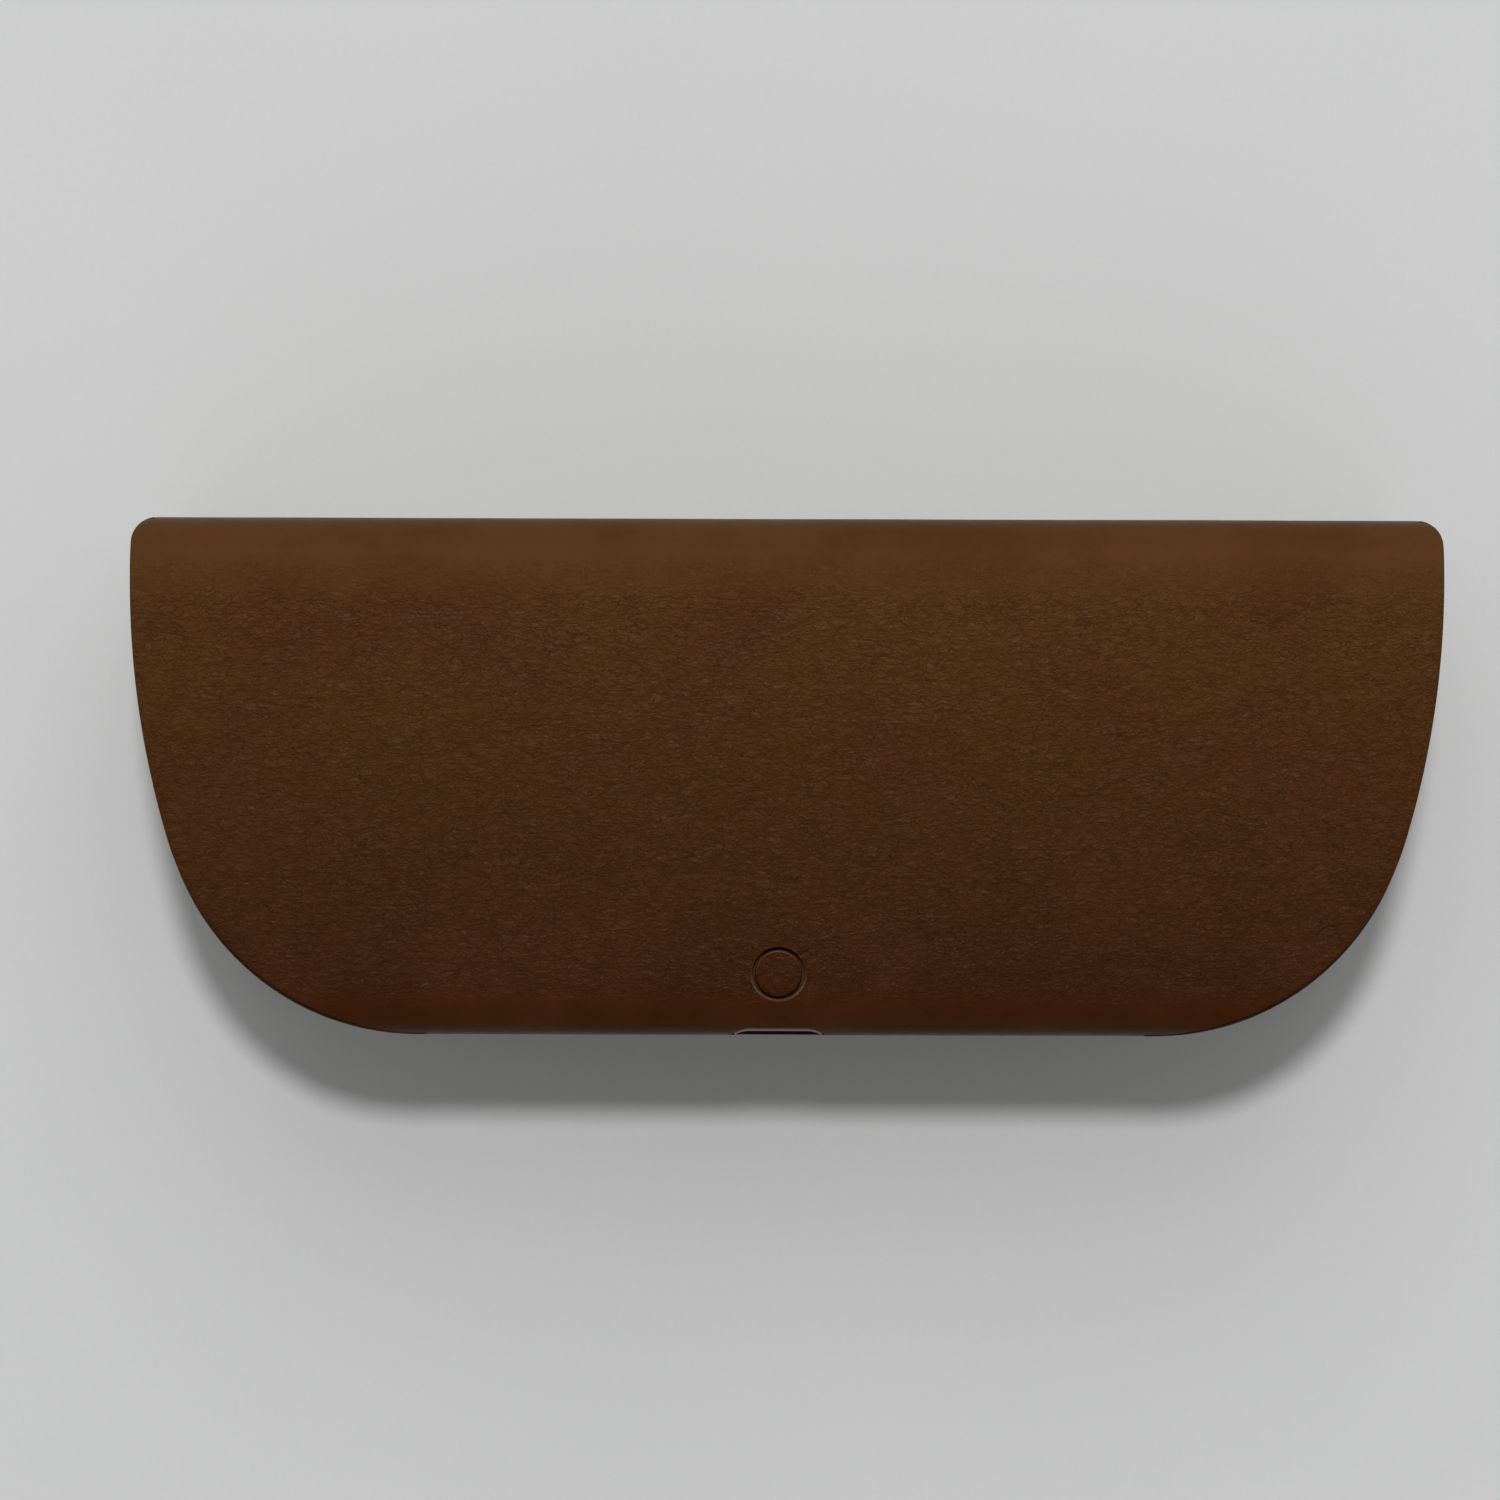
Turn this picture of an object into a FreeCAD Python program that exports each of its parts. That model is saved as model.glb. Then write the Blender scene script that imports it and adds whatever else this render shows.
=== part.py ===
import FreeCAD, Part
import math
import os

from FreeCAD import Vector

# A rigid, leather covered charging case for glasses, closed and lying on its front flap.
# Millimetres.  X runs along the length, +Y is the folded spine edge, -Y the edge with the
# charging port, +Z the back panel.  The origin is the middle of the face that it lies on.

# ---- overall sizes -------------------------------------------------------------------
length = 162.0           # end to end
height = 64.0            # spine edge to port edge
thickness = 52.0         # flap face to back face

# ---- outline of the case, seen from the back -----------------------------------------
top_corner = 3.0         # corners beside the spine
least_corner = 0.4       # the same corners on the inner walls
straight_drop = 8.0      # straight stretch of each end, below the spine edge
end_radius = 110.0       # slow curve of each end
lower_corner = 32.0      # large lower corners of the end leather
panel_corner = 34.0      # the back panel turns its lower corners a little sooner
spine_roll = 7.0         # roll of the leather over the spine edge
port_roll = 5.0          # roll of the leather over the port edge

# ---- skins and walls -----------------------------------------------------------------
leather = 1.2            # leather on the back, spine and ends
flap_skin = 1.1          # leather on the flap
shell_wall = 2.0         # moulded tub walls
shell_floor = 1.4        # tub floor, between the glasses and the electronics
back_plate_thick = 1.4
bay_depth = 7.0          # room for the battery and the board
plate_ledge = 1.6        # ledge of the tub that carries the back plate
plate_margin = 3.0       # edge of the back plate, inside the outline
plate_fit = 0.15         # clearance round the back plate
lining = 0.8             # microfibre on the inside
trim_thick = 1.0         # leather edging of the mouth

# ---- flap and hinge ------------------------------------------------------------------
flap_inset = 1.0         # flap edge inside the case outline
flap_board_thick = 1.5
flap_lining_thick = 1.7
flap_edge_round = 1.5
mouth_gap = 0.3          # flap lining to mouth edging
hinge_back = 3.0         # hinge line, in from the spine face
hinge_up = 3.0           # hinge line, up from the flap face
hinge_flap_gap = 0.7     # stiff flap edge to the hinge line
hinge_reach = 8.0        # top of the hinge leather on the spine face
hinge_end_gap = 1.5      # hinge leather stops short of the case ends

# ---- charging port -------------------------------------------------------------------
port_x = -0.9            # port and button stand a little to one side of the middle
port_headroom = 0.2      # socket below the back plate
bezel_width = 11.7
bezel_height = 4.6
bezel_depth = 2.0
bezel_fit = 0.15
socket_width = 8.94
socket_height = 3.2
socket_wall = 0.3
socket_length = 6.5
socket_front = 0.8       # mouth of the socket, in from the port face
socket_fit = 0.05
tongue_width = 6.7
tongue_thick = 0.7
tongue_back = 1.2        # tip of the tongue, in from the socket mouth

# ---- circuit board -------------------------------------------------------------------
board_width = 44.0
board_thick = 1.0
board_in = 6.8           # front edge of the board, in from the port face
board_depth = 17.7
board_tongue_width = 17.0
board_tongue_in = 3.4    # front of the tongue that carries the socket
board_slack = 0.3
standoff_radius = 2.2
standoff_inset = 3.2
board_screw_radius = 0.7
board_screw_head = 1.4
board_screw_head_thick = 0.8
board_screw_length = 3.0
screw_fit = 0.05

# ---- pairing button ------------------------------------------------------------------
button_in = 7.8          # button centre, in from the port face
button_disc = 5.8        # leather disc
button_groove = 0.5      # open ring round the disc
button_cap_width = 5.6
button_cap_thick = 1.25
button_leather_thick = 1.0
button_travel = 0.4
button_foot_width = 4.0
button_foot_thick = 0.9
button_foot_gap = 0.3
button_foot_length = 7.7
button_neck = 2.0        # web between the cap and its foot
switch_in = 13.5         # switch centre, in from the port face
switch_size = 4.0
switch_height = 1.5
plunger_radius = 0.8
plunger_fit = 0.1
plunger_height = 1.1
stem_radius = 1.0

# ---- battery -------------------------------------------------------------------------
battery_length = 80.0
battery_thick = 5.0
battery_round = 1.2
battery_gap = 2.5        # board to battery
battery_slack = 0.4      # battery to the bay wall at the spine
battery_tape = 0.3
tab_width = 6.0
tab_thick = 0.3
tab_on_board = 2.0
tab_x = 13.0

# ---- saddle that carries the bridge of the glasses -----------------------------------
saddle_foot = 32.0       # width at the port wall
saddle_top = 18.0        # width under the bridge
saddle_rise = 20.8       # crest above the wall that it stands on
saddle_round = 5.0
saddle_front = 14.0      # front face of the saddle above the flap face
saddle_wall = 1.6
saddle_fit = 0.2
pad_thick = 0.8
saddle_boss = 2.4
saddle_screw_radius = 0.8
saddle_screw_head = 1.6
saddle_screw_head_thick = 0.9
saddle_screw_length = 5.0
saddle_screw_side = 6.5  # screw centres in from the foot's sides
saddle_screw_up = 5.5    # screw centres above the wall

# ---- charging pins -------------------------------------------------------------------
pin_count = 3
pin_pitch = 3.0
pin_z = 27.0
pin_radius = 0.6
pin_tip_round = 0.42
pin_collar = 0.9
pin_collar_length = 0.8
pin_fit = 0.1
pin_proud = 1.0          # tip above the saddle pad
pin_travel = 0.8
pin_bore_depth = 3.6
pin_block_margin = 1.9
pin_block_floor = 0.6
spring_wall = 0.3
flex_width = 8.0
flex_thick = 0.2
flex_slack = 0.5         # slot round the flat cable
led_size = 1.6
led_thick = 0.7
led_lens_radius = 1.2
led_lens_proud = 0.1

# ---- magnets and screws --------------------------------------------------------------
magnet_x = 30.0
magnet_length = 12.0
magnet_width = 3.0
magnet_thick = 2.0
flap_magnet_thick = 1.4
magnet_fit = 0.1
magnet_wall = 1.2
magnet_boss_height = 5.0
plate_screw_radius = 0.9
plate_screw_head = 1.9
plate_screw_head_thick = 0.8
plate_screw_length = 5.0
plate_boss_radius = 2.6
plate_boss_margin = 8.5  # boss centres inside the outline
plate_boss_row_1 = 15.0  # upper bosses below the spine face
plate_boss_row_2 = 38.0  # middle bosses below the spine face
plate_boss_up = 12.0     # lower bosses above the port face
plate_boss_beside_board = 12.0

# ---- places worked out from the sizes ------------------------------------------------
half_length = length / 2
half_height = height / 2
flap_board_base = flap_skin
flap_lining_base = flap_board_base + flap_board_thick
flap_top = flap_lining_base + flap_lining_thick
trim_base = flap_top + mouth_gap
rim = trim_base + trim_thick
plate_top = thickness - leather
plate_base = plate_top - back_plate_thick
bay_floor = plate_base - bay_depth
shell_ceiling = bay_floor - shell_floor
cavity_inset = leather + shell_wall
hinge_y = half_height - hinge_back
hinge_z = hinge_up
flap_edge = hinge_y - hinge_flap_gap
port_z = plate_base - port_headroom - socket_height / 2
board_top = port_z - socket_height / 2
board_base = board_top - board_thick
board_front = -half_height + board_in
board_back = board_front + board_depth
board_tongue_front = -half_height + board_tongue_in
button_y = -half_height + button_in
switch_y = -half_height + switch_in
bay_back = half_height - spine_roll - plate_ledge
battery_front = board_back + battery_gap
battery_back = bay_back - battery_slack
saddle_base = -half_height + cavity_inset
saddle_crest = saddle_base + saddle_rise
magnet_y = -half_height + cavity_inset + magnet_width / 2
past = 1.0               # how far a cutting tool runs past what it cuts
reach = 2 * (length + height + thickness)


def box(x0, x1, y0, y1, z0, z1):
    return Part.makeBox(x1 - x0, y1 - y0, z1 - z0, Vector(x0, y0, z0))


def post(x, y, z0, z1, radius):
    return Part.makeCylinder(radius, z1 - z0, Vector(x, y, z0))


def rod_along_y(x, z, y0, y1, radius):
    return Part.makeCylinder(radius, y1 - y0, Vector(x, y0, z), Vector(0, 1, 0))


def pill_along_y(x, z, y0, y1, wide, high):
    flat = wide - high
    body = box(x - flat / 2, x + flat / 2, y0, y1, z - high / 2, z + high / 2)
    left = rod_along_y(x - flat / 2, z, y0, y1, high / 2)
    right = rod_along_y(x + flat / 2, z, y0, y1, high / 2)
    return body.fuse([left, right]).removeSplitter()


def group(solids):
    return Part.makeCompound(solids)


def mirrored(shape):
    return shape.mirror(Vector(0, 0, 0), Vector(1, 0, 0))


def arc_mid(centre, radius, start, end):
    angle = (start + end) / 2
    return centre + Vector(radius * math.cos(angle), radius * math.sin(angle), 0)


def corner_centre(corner):
    """Centre of a lower corner arc that meets both the port edge and the end curve."""
    end_centre_x = half_length - end_radius
    end_centre_y = half_height - straight_drop
    centre_y = -half_height + corner
    rise = end_centre_y - centre_y
    run = math.sqrt((end_radius - corner) ** 2 - rise ** 2)
    return Vector(end_centre_x + run, centre_y, 0)


def half_width_at(y, inset):
    """Half width of the panel outline at a height y, on its end curve or lower corner."""
    centre = corner_centre(panel_corner)
    end_centre = Vector(half_length - end_radius, half_height - straight_drop, 0)
    if y >= end_centre.y:
        return half_length - inset
    slope = (centre.y - end_centre.y) / (centre.x - end_centre.x)
    on_end = end_centre.x + math.sqrt((end_radius - inset) ** 2 - (y - end_centre.y) ** 2)
    if y - end_centre.y > slope * (on_end - end_centre.x):
        return on_end
    return centre.x + math.sqrt((panel_corner - inset) ** 2 - (y - centre.y) ** 2)


def outline(inset, corner):
    """The case outline as a face at z = 0: straight edges joined by tangent arcs."""
    right = half_length - inset
    top = half_height - inset
    low = -half_height + inset
    small = max(top_corner - inset, least_corner)
    end_centre = Vector(half_length - end_radius, half_height - straight_drop, 0)
    low_centre = corner_centre(corner)
    turn = math.atan2(low_centre.y - end_centre.y, low_centre.x - end_centre.x)
    end_r = end_radius - inset
    low_r = corner - inset
    joint = low_centre + Vector(low_r * math.cos(turn), low_r * math.sin(turn), 0)
    side_top = Vector(right, end_centre.y, 0)
    top_centre = Vector(right - small, top - small, 0)
    start = Vector(right - small, top, 0)
    shoulder = Vector(right, top - small, 0)
    foot = Vector(low_centre.x, low, 0)
    half = [
        Part.Arc(start, arc_mid(top_centre, small, 0, math.pi / 2), shoulder).toShape(),
        Part.LineSegment(shoulder, side_top).toShape(),
        Part.Arc(side_top, arc_mid(end_centre, end_r, turn, 0), joint).toShape(),
        Part.Arc(joint, arc_mid(low_centre, low_r, -math.pi / 2, turn), foot).toShape(),
    ]
    other = [mirrored(edge) for edge in half]
    top_line = Part.LineSegment(start, Vector(-start.x, start.y, 0)).toShape()
    low_line = Part.LineSegment(foot, Vector(-foot.x, foot.y, 0)).toShape()
    edges = Part.sortEdges(half + other + [top_line, low_line])[0]
    return Part.Face(Part.Wire(edges))


def slab(inset, corner, z0, z1):
    face = outline(inset, corner)
    face.translate(Vector(0, 0, z0))
    return face.extrude(Vector(0, 0, z1 - z0))


def profile(inset, z0, past_low=0.0):
    """The side section: spine face, spine roll, back, port roll and port face."""
    top = thickness - inset
    spine = half_height - inset
    port = -half_height + inset
    roll_s = spine_roll - inset
    roll_p = port_roll - inset
    diag = math.sqrt(0.5)
    s_centre = Vector(0, half_height - spine_roll, thickness - spine_roll)
    p_centre = Vector(0, -half_height + port_roll, thickness - port_roll)
    a = Vector(0, spine, z0 - past_low)
    b = Vector(0, spine, s_centre.z)
    c = s_centre + Vector(0, roll_s * diag, roll_s * diag)
    d = Vector(0, s_centre.y, top)
    e = Vector(0, p_centre.y, top)
    f = p_centre + Vector(0, -roll_p * diag, roll_p * diag)
    g = Vector(0, port, p_centre.z)
    h = Vector(0, port, z0 - past_low)
    edges = [
        Part.LineSegment(a, b).toShape(),
        Part.Arc(b, c, d).toShape(),
        Part.LineSegment(d, e).toShape(),
        Part.Arc(e, f, g).toShape(),
        Part.LineSegment(g, h).toShape(),
        Part.LineSegment(h, a).toShape(),
    ]
    face = Part.Face(Part.Wire(edges))
    face.translate(Vector(-reach / 2, 0, 0))
    return face.extrude(Vector(reach, 0, 0))


def form(plan_inset, section_inset, corner, z0):
    """The case as a block: its outline upright, cut to its side section."""
    return slab(plan_inset, corner, z0, thickness + past).common(profile(section_inset, z0))


def port_tool(grow):
    return pill_along_y(port_x, port_z, -half_height - past, -half_height + bezel_depth + grow,
                        bezel_width + 2 * grow, bezel_height + 2 * grow)


def screw(x, y, top, head_radius, head_thick, radius, long):
    head = post(x, y, top - head_thick, top, head_radius)
    shank = post(x, y, top - long, top - head_thick, radius)
    return head.fuse(shank).removeSplitter()


# ---- leather -------------------------------------------------------------------------
def back_leather():
    """One sheet from the spine, over the back and down the port edge."""
    sheet = form(0, 0, panel_corner, rim).cut(profile(leather, rim, past))
    sheet = sheet.cut(box(-reach / 2, reach / 2, 0, half_height + past, rim - past, hinge_reach))
    groove = button_disc / 2 + button_groove
    sheet = sheet.cut(post(port_x, button_y, plate_top - past, thickness + past, groove))
    return sheet.cut(port_tool(bezel_fit))


def gusset(side):
    """Leather on one end, from the spine edge round the lower corner."""
    band = form(0, leather, lower_corner, rim).cut(slab(leather, lower_corner, 0, thickness))
    if side < 0:
        return band.common(box(-reach, 0, -reach, reach, 0, reach))
    return band.common(box(0, reach, -reach, reach, 0, reach))


def hinge_leather():
    """Leather fold between the flap and the spine, round the hinge line."""
    inner = hinge_back - leather
    low_inner = hinge_up - flap_skin
    face_y = half_height
    diag = math.sqrt(0.5)
    centre = Vector(0, hinge_y, hinge_z)
    points = [
        Vector(0, flap_edge, 0),
        Vector(0, hinge_y, 0),
        centre + Vector(0, hinge_back * diag, -hinge_up * diag),
        Vector(0, face_y, hinge_z),
        Vector(0, face_y, hinge_reach),
        Vector(0, face_y - leather, hinge_reach),
        Vector(0, face_y - leather, hinge_z),
        centre + Vector(0, inner * diag, -low_inner * diag),
        Vector(0, hinge_y, flap_skin),
        Vector(0, flap_edge, flap_skin),
    ]
    edges = [
        Part.LineSegment(points[0], points[1]).toShape(),
        Part.Arc(points[1], points[2], points[3]).toShape(),
        Part.LineSegment(points[3], points[4]).toShape(),
        Part.LineSegment(points[4], points[5]).toShape(),
        Part.LineSegment(points[5], points[6]).toShape(),
        Part.Arc(points[6], points[7], points[8]).toShape(),
        Part.LineSegment(points[8], points[9]).toShape(),
        Part.LineSegment(points[9], points[0]).toShape(),
    ]
    face = Part.Face(Part.Wire(edges))
    half = half_length - hinge_end_gap
    face.translate(Vector(-half, 0, 0))
    return face.extrude(Vector(2 * half, 0, 0))


# ---- tub -----------------------------------------------------------------------------
def plate_region(inset, z0, z1):
    """The flat of the back between the two rolls, inside the outline."""
    y0 = -half_height + port_roll + inset - plate_margin
    y1 = half_height - spine_roll - inset + plate_margin
    flat = box(-reach / 2, reach / 2, y0, y1, z0, z1)
    return slab(inset, panel_corner, z0, z1).common(flat)


def boss_spots():
    """Screw bosses of the back plate, in pairs that follow the outline."""
    rows = [half_height - plate_boss_row_1, half_height - plate_boss_row_2]
    spots = [(half_width_at(y, plate_boss_margin), y) for y in rows]
    spots.append((board_width / 2 + plate_boss_beside_board, -half_height + plate_boss_up))
    return [(side * x, y) for x, y in spots for side in (-1, 1)]


def standoff_spots():
    x = board_width / 2 - standoff_inset
    return [(port_x + side * x, y) for side in (-1, 1)
            for y in (board_front + standoff_inset, board_back - standoff_inset)]


def saddle_screw_spots():
    x = saddle_foot / 2 - saddle_screw_side
    return [(side * x, saddle_base + saddle_screw_up) for side in (-1, 1)]


def magnet_box(side, grow, z0, z1):
    x = side * magnet_x
    half = magnet_length / 2 + grow
    return box(x - half, x + half, magnet_y - magnet_width / 2 - grow,
               magnet_y + magnet_width / 2 + grow, z0, z1)


def magnet_boss(side, grow):
    x = side * magnet_x
    half = magnet_length / 2 + magnet_wall + grow
    back = magnet_y + magnet_width / 2 + magnet_wall + grow
    return box(x - half, x + half, -half_height + leather + past, back, rim,
               rim + magnet_boss_height + grow)


def tub_shell():
    shell = form(leather, leather, panel_corner, rim)
    shell = shell.cut(slab(cavity_inset, panel_corner, rim - past, shell_ceiling))
    shell = shell.cut(plate_region(plate_margin, plate_base, thickness))
    shell = shell.cut(plate_region(plate_margin + plate_ledge, bay_floor, plate_base + past))
    pocket = board_tongue_width / 2 + board_slack
    shell = shell.cut(box(port_x - pocket, port_x + pocket, board_tongue_front - board_slack,
                          board_front + plate_ledge, board_base - board_slack, plate_base))
    bosses = [post(x, y, bay_floor, plate_base, plate_boss_radius) for x, y in boss_spots()]
    bosses += [post(x, y, bay_floor, board_base, standoff_radius) for x, y in standoff_spots()]
    bosses += [magnet_boss(side, 0) for side in (-1, 1)]
    shell = shell.fuse(bosses).removeSplitter()
    for x, y in boss_spots():
        pilot = plate_screw_radius + screw_fit
        bottom = plate_top - plate_screw_length - screw_fit
        shell = shell.cut(post(x, y, bottom, plate_base + past, pilot))
    for x, y in standoff_spots():
        pilot = board_screw_radius + screw_fit
        bottom = board_top + board_screw_head_thick - board_screw_length - screw_fit
        shell = shell.cut(post(x, y, bottom, board_base + past, pilot))
    for x, y in saddle_screw_spots():
        shell = shell.cut(post(x, y, shell_ceiling - past, bay_floor + past,
                               saddle_screw_radius + screw_fit))
    for side in (-1, 1):
        shell = shell.cut(magnet_box(side, magnet_fit, rim - past, rim + magnet_thick))
    groove = button_disc / 2 + button_groove
    shell = shell.cut(post(port_x, button_y, plate_base, thickness, groove))
    shell = shell.cut(flex_slot())
    shell = shell.cut(port_tool(0))
    tunnel = pill_along_y(port_x, port_z, -half_height, board_front,
                          socket_width + 2 * bezel_fit, socket_height + 2 * bezel_fit)
    return shell.cut(tunnel)


def back_plate():
    plate = plate_region(plate_margin + plate_fit, plate_base, plate_top)
    groove = button_disc / 2 + button_groove
    plate = plate.cut(post(port_x, button_y, plate_base - past, plate_top + past, groove))
    for x, y in boss_spots():
        head = plate_screw_head + screw_fit
        plate = plate.cut(post(x, y, plate_top - plate_screw_head_thick, plate_top + past, head))
        plate = plate.cut(post(x, y, plate_base - past, plate_top,
                               plate_screw_radius + screw_fit))
    return plate


def plate_screws():
    return group([screw(x, y, plate_top, plate_screw_head, plate_screw_head_thick,
                        plate_screw_radius, plate_screw_length) for x, y in boss_spots()])


def mouth_trim():
    """Leather edging round the mouth of the tub, open at the hinge."""
    ring = slab(flap_inset / 2, panel_corner, trim_base, rim)
    ring = ring.cut(slab(cavity_inset, panel_corner, trim_base - past, rim + past))
    return ring.cut(box(-reach / 2, reach / 2, half_height - leather, reach, 0, reach))


def inner_lining():
    """Microfibre skin of the hollow, with openings for the saddle and the magnet bosses."""
    tray = slab(cavity_inset, panel_corner, rim, shell_ceiling)
    inside = slab(cavity_inset + lining, panel_corner, rim - past, shell_ceiling - lining)
    tray = tray.cut(inside)
    tray = tray.cut(saddle_block(saddle_fit, saddle_front - saddle_fit))
    for side in (-1, 1):
        tray = tray.cut(magnet_boss(side, saddle_fit))
    return tray


def rim_magnets():
    return group([magnet_box(side, 0, rim, rim + magnet_thick) for side in (-1, 1)])


# ---- charging port and board ---------------------------------------------------------
def port_bezel():
    block = pill_along_y(port_x, port_z, -half_height - past, -half_height + bezel_depth,
                         bezel_width, bezel_height)
    block = block.common(form(0, 0, panel_corner, rim))
    hole = pill_along_y(port_x, port_z, -half_height - past, 0,
                        socket_width + 2 * socket_fit, socket_height + 2 * socket_fit)
    return block.cut(hole)


def port_socket():
    front = -half_height + socket_front
    back = front + socket_length
    body = pill_along_y(port_x, port_z, front, back, socket_width, socket_height)
    hollow = pill_along_y(port_x, port_z, front - past, back - 2 * socket_wall,
                          socket_width - 2 * socket_wall, socket_height - 2 * socket_wall)
    return body.cut(hollow)


def port_tongue():
    front = -half_height + socket_front
    back = front + socket_length - 2 * socket_wall
    return box(port_x - tongue_width / 2, port_x + tongue_width / 2, front + tongue_back, back,
               port_z - tongue_thick / 2, port_z + tongue_thick / 2)


def main_board():
    half = board_width / 2
    tongue = board_tongue_width / 2
    board = box(port_x - half, port_x + half, board_front, board_back, board_base, board_top)
    board = board.fuse(box(port_x - tongue, port_x + tongue, board_tongue_front,
                           board_front + past, board_base, board_top)).removeSplitter()
    for x, y in standoff_spots():
        board = board.cut(post(x, y, board_base - past, board_top + past,
                               board_screw_radius + screw_fit))
    return board


def board_screws():
    top = board_top + board_screw_head_thick
    return group([screw(x, y, top, board_screw_head, board_screw_head_thick,
                        board_screw_radius, board_screw_length) for x, y in standoff_spots()])


def board_chips():
    """Charge controller, coil and radio, soldered on the board."""
    charger = (-12.0, 12.2, 5.0, 5.0, 0.9)
    coil = (9.5, 5.2, 4.0, 4.0, 2.0)
    radio = (-11.5, 4.7, 6.0, 4.0, 1.2)
    return group([box(port_x + x - wide / 2, port_x + x + wide / 2,
                      board_front + y - deep / 2, board_front + y + deep / 2,
                      board_top, board_top + high)
                  for x, y, wide, deep, high in (charger, coil, radio)])


def battery_cell():
    base = bay_floor + battery_tape
    cell = box(-battery_length / 2, battery_length / 2, battery_front, battery_back,
               base, base + battery_thick)
    upright = [edge for edge in cell.Edges if abs(edge.tangentAt(edge.FirstParameter).z) > 0.9]
    return cell.makeFillet(battery_round, upright)


def battery_tape_strip():
    edge = battery_round + past
    return box(-battery_length / 2 + edge, battery_length / 2 - edge, battery_front + edge,
               battery_back - edge, bay_floor, bay_floor + battery_tape)


def battery_tab():
    return box(tab_x - tab_width / 2, tab_x + tab_width / 2, board_back - tab_on_board,
               battery_front, board_top, board_top + tab_thick)


# ---- pairing button ------------------------------------------------------------------
def button_cap():
    top = thickness - button_leather_thick
    base = top - button_cap_thick
    foot_top = plate_base - button_foot_gap
    foot_base = foot_top - button_foot_thick
    half = button_foot_width / 2
    cap = post(port_x, button_y, base, top, button_cap_width / 2)
    neck = box(port_x - half, port_x + half, button_y, button_y + button_neck, foot_base, top)
    foot = box(port_x - half, port_x + half, button_y, button_y + button_foot_length,
               foot_base, foot_top)
    stem = post(port_x, switch_y, board_top + switch_height + button_travel, foot_base, stem_radius)
    return cap.fuse([neck, foot, stem]).removeSplitter()


def button_leather():
    top = thickness
    return post(port_x, button_y, top - button_leather_thick, top, button_disc / 2)


def tact_switch():
    half = switch_size / 2
    body = box(port_x - half, port_x + half, switch_y - half, switch_y + half,
               board_top, board_top + switch_height)
    bottom = board_top + switch_height - plunger_height - plunger_fit
    hole = post(port_x, switch_y, bottom, board_top + switch_height + past,
                plunger_radius + plunger_fit)
    return body.cut(hole)


def switch_plunger():
    top = board_top + switch_height + button_travel
    return post(port_x, switch_y, top - plunger_height, top, plunger_radius)


# ---- saddle and charging pins --------------------------------------------------------
def saddle_outline(inset):
    """A hump on the port wall, narrower towards its rounded crest."""
    foot = saddle_foot / 2 - inset
    top = saddle_top / 2 - inset
    crest = saddle_crest - inset
    corners = [Vector(-foot, saddle_base, 0), Vector(foot, saddle_base, 0),
               Vector(top, crest, 0), Vector(-top, crest, 0)]
    face = Part.Face(Part.makePolygon(corners + [corners[0]]))
    return face


def saddle_prism(inset, z0, z1, rounding):
    face = saddle_outline(inset)
    face.translate(Vector(0, 0, z0))
    block = face.extrude(Vector(0, 0, z1 - z0))
    crest = [edge for edge in block.Edges
             if abs(edge.tangentAt(edge.FirstParameter).z) > 0.9
             and edge.CenterOfMass.y > saddle_base + past]
    return block.makeFillet(rounding, crest)


def saddle_block(grow, z0):
    return saddle_prism(-grow, z0, shell_ceiling, saddle_round + grow)


def pin_spots():
    middle = (pin_count - 1) / 2
    return [(index - middle) * pin_pitch for index in range(pin_count)]


def charging_saddle():
    shell = saddle_block(0, saddle_front)
    hollow = saddle_prism(saddle_wall, saddle_front + saddle_wall, shell_ceiling + past,
                          saddle_round - saddle_wall)
    hollow = hollow.cut(box(-reach, reach, -reach, saddle_base + saddle_wall, 0, reach))
    shell = shell.cut(hollow)
    bosses = [post(x, y, saddle_front + saddle_wall, shell_ceiling, saddle_boss)
              for x, y in saddle_screw_spots()]
    shell = shell.fuse(bosses).removeSplitter()
    for x, y in saddle_screw_spots():
        bottom = bay_floor + saddle_screw_head_thick - saddle_screw_length - screw_fit
        shell = shell.cut(post(x, y, bottom, shell_ceiling + past,
                               saddle_screw_radius + screw_fit))
    for x in pin_spots():
        shell = shell.cut(rod_along_y(x, pin_z, saddle_crest - 2 * saddle_wall,
                                      saddle_crest + past, pin_radius + pin_fit))
    lens = post(0, led_y(), saddle_front - past, saddle_front + saddle_wall + past,
                led_lens_radius + screw_fit)
    return shell.cut(lens)


def saddle_pad():
    """Soft pad over the crest, between the saddle and the bridge of the glasses."""
    outer = saddle_prism(-pad_thick, saddle_front, shell_ceiling - lining, saddle_round + pad_thick)
    pad = outer.cut(saddle_prism(0, saddle_front - past, shell_ceiling, saddle_round))
    low = saddle_crest - 2 * saddle_round
    pad = pad.common(box(-reach, reach, low, reach, 0, reach))
    for x in pin_spots():
        pad = pad.cut(rod_along_y(x, pin_z, saddle_crest - past, saddle_crest + 2 * pad_thick,
                                  pin_radius + 2 * pin_fit))
    return pad


def block_top():
    return saddle_crest - saddle_wall


def pin_block():
    half = pin_pitch * (pin_count - 1) / 2 + pin_block_margin
    top = block_top()
    back = top - pin_bore_depth - pin_block_floor
    block = box(-half, half, back, top, pin_z - pin_block_margin, pin_z + pin_block_margin)
    for x in pin_spots():
        block = block.cut(rod_along_y(x, pin_z, top - pin_bore_depth, top + past,
                                      pin_collar + pin_fit))
    return block


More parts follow.
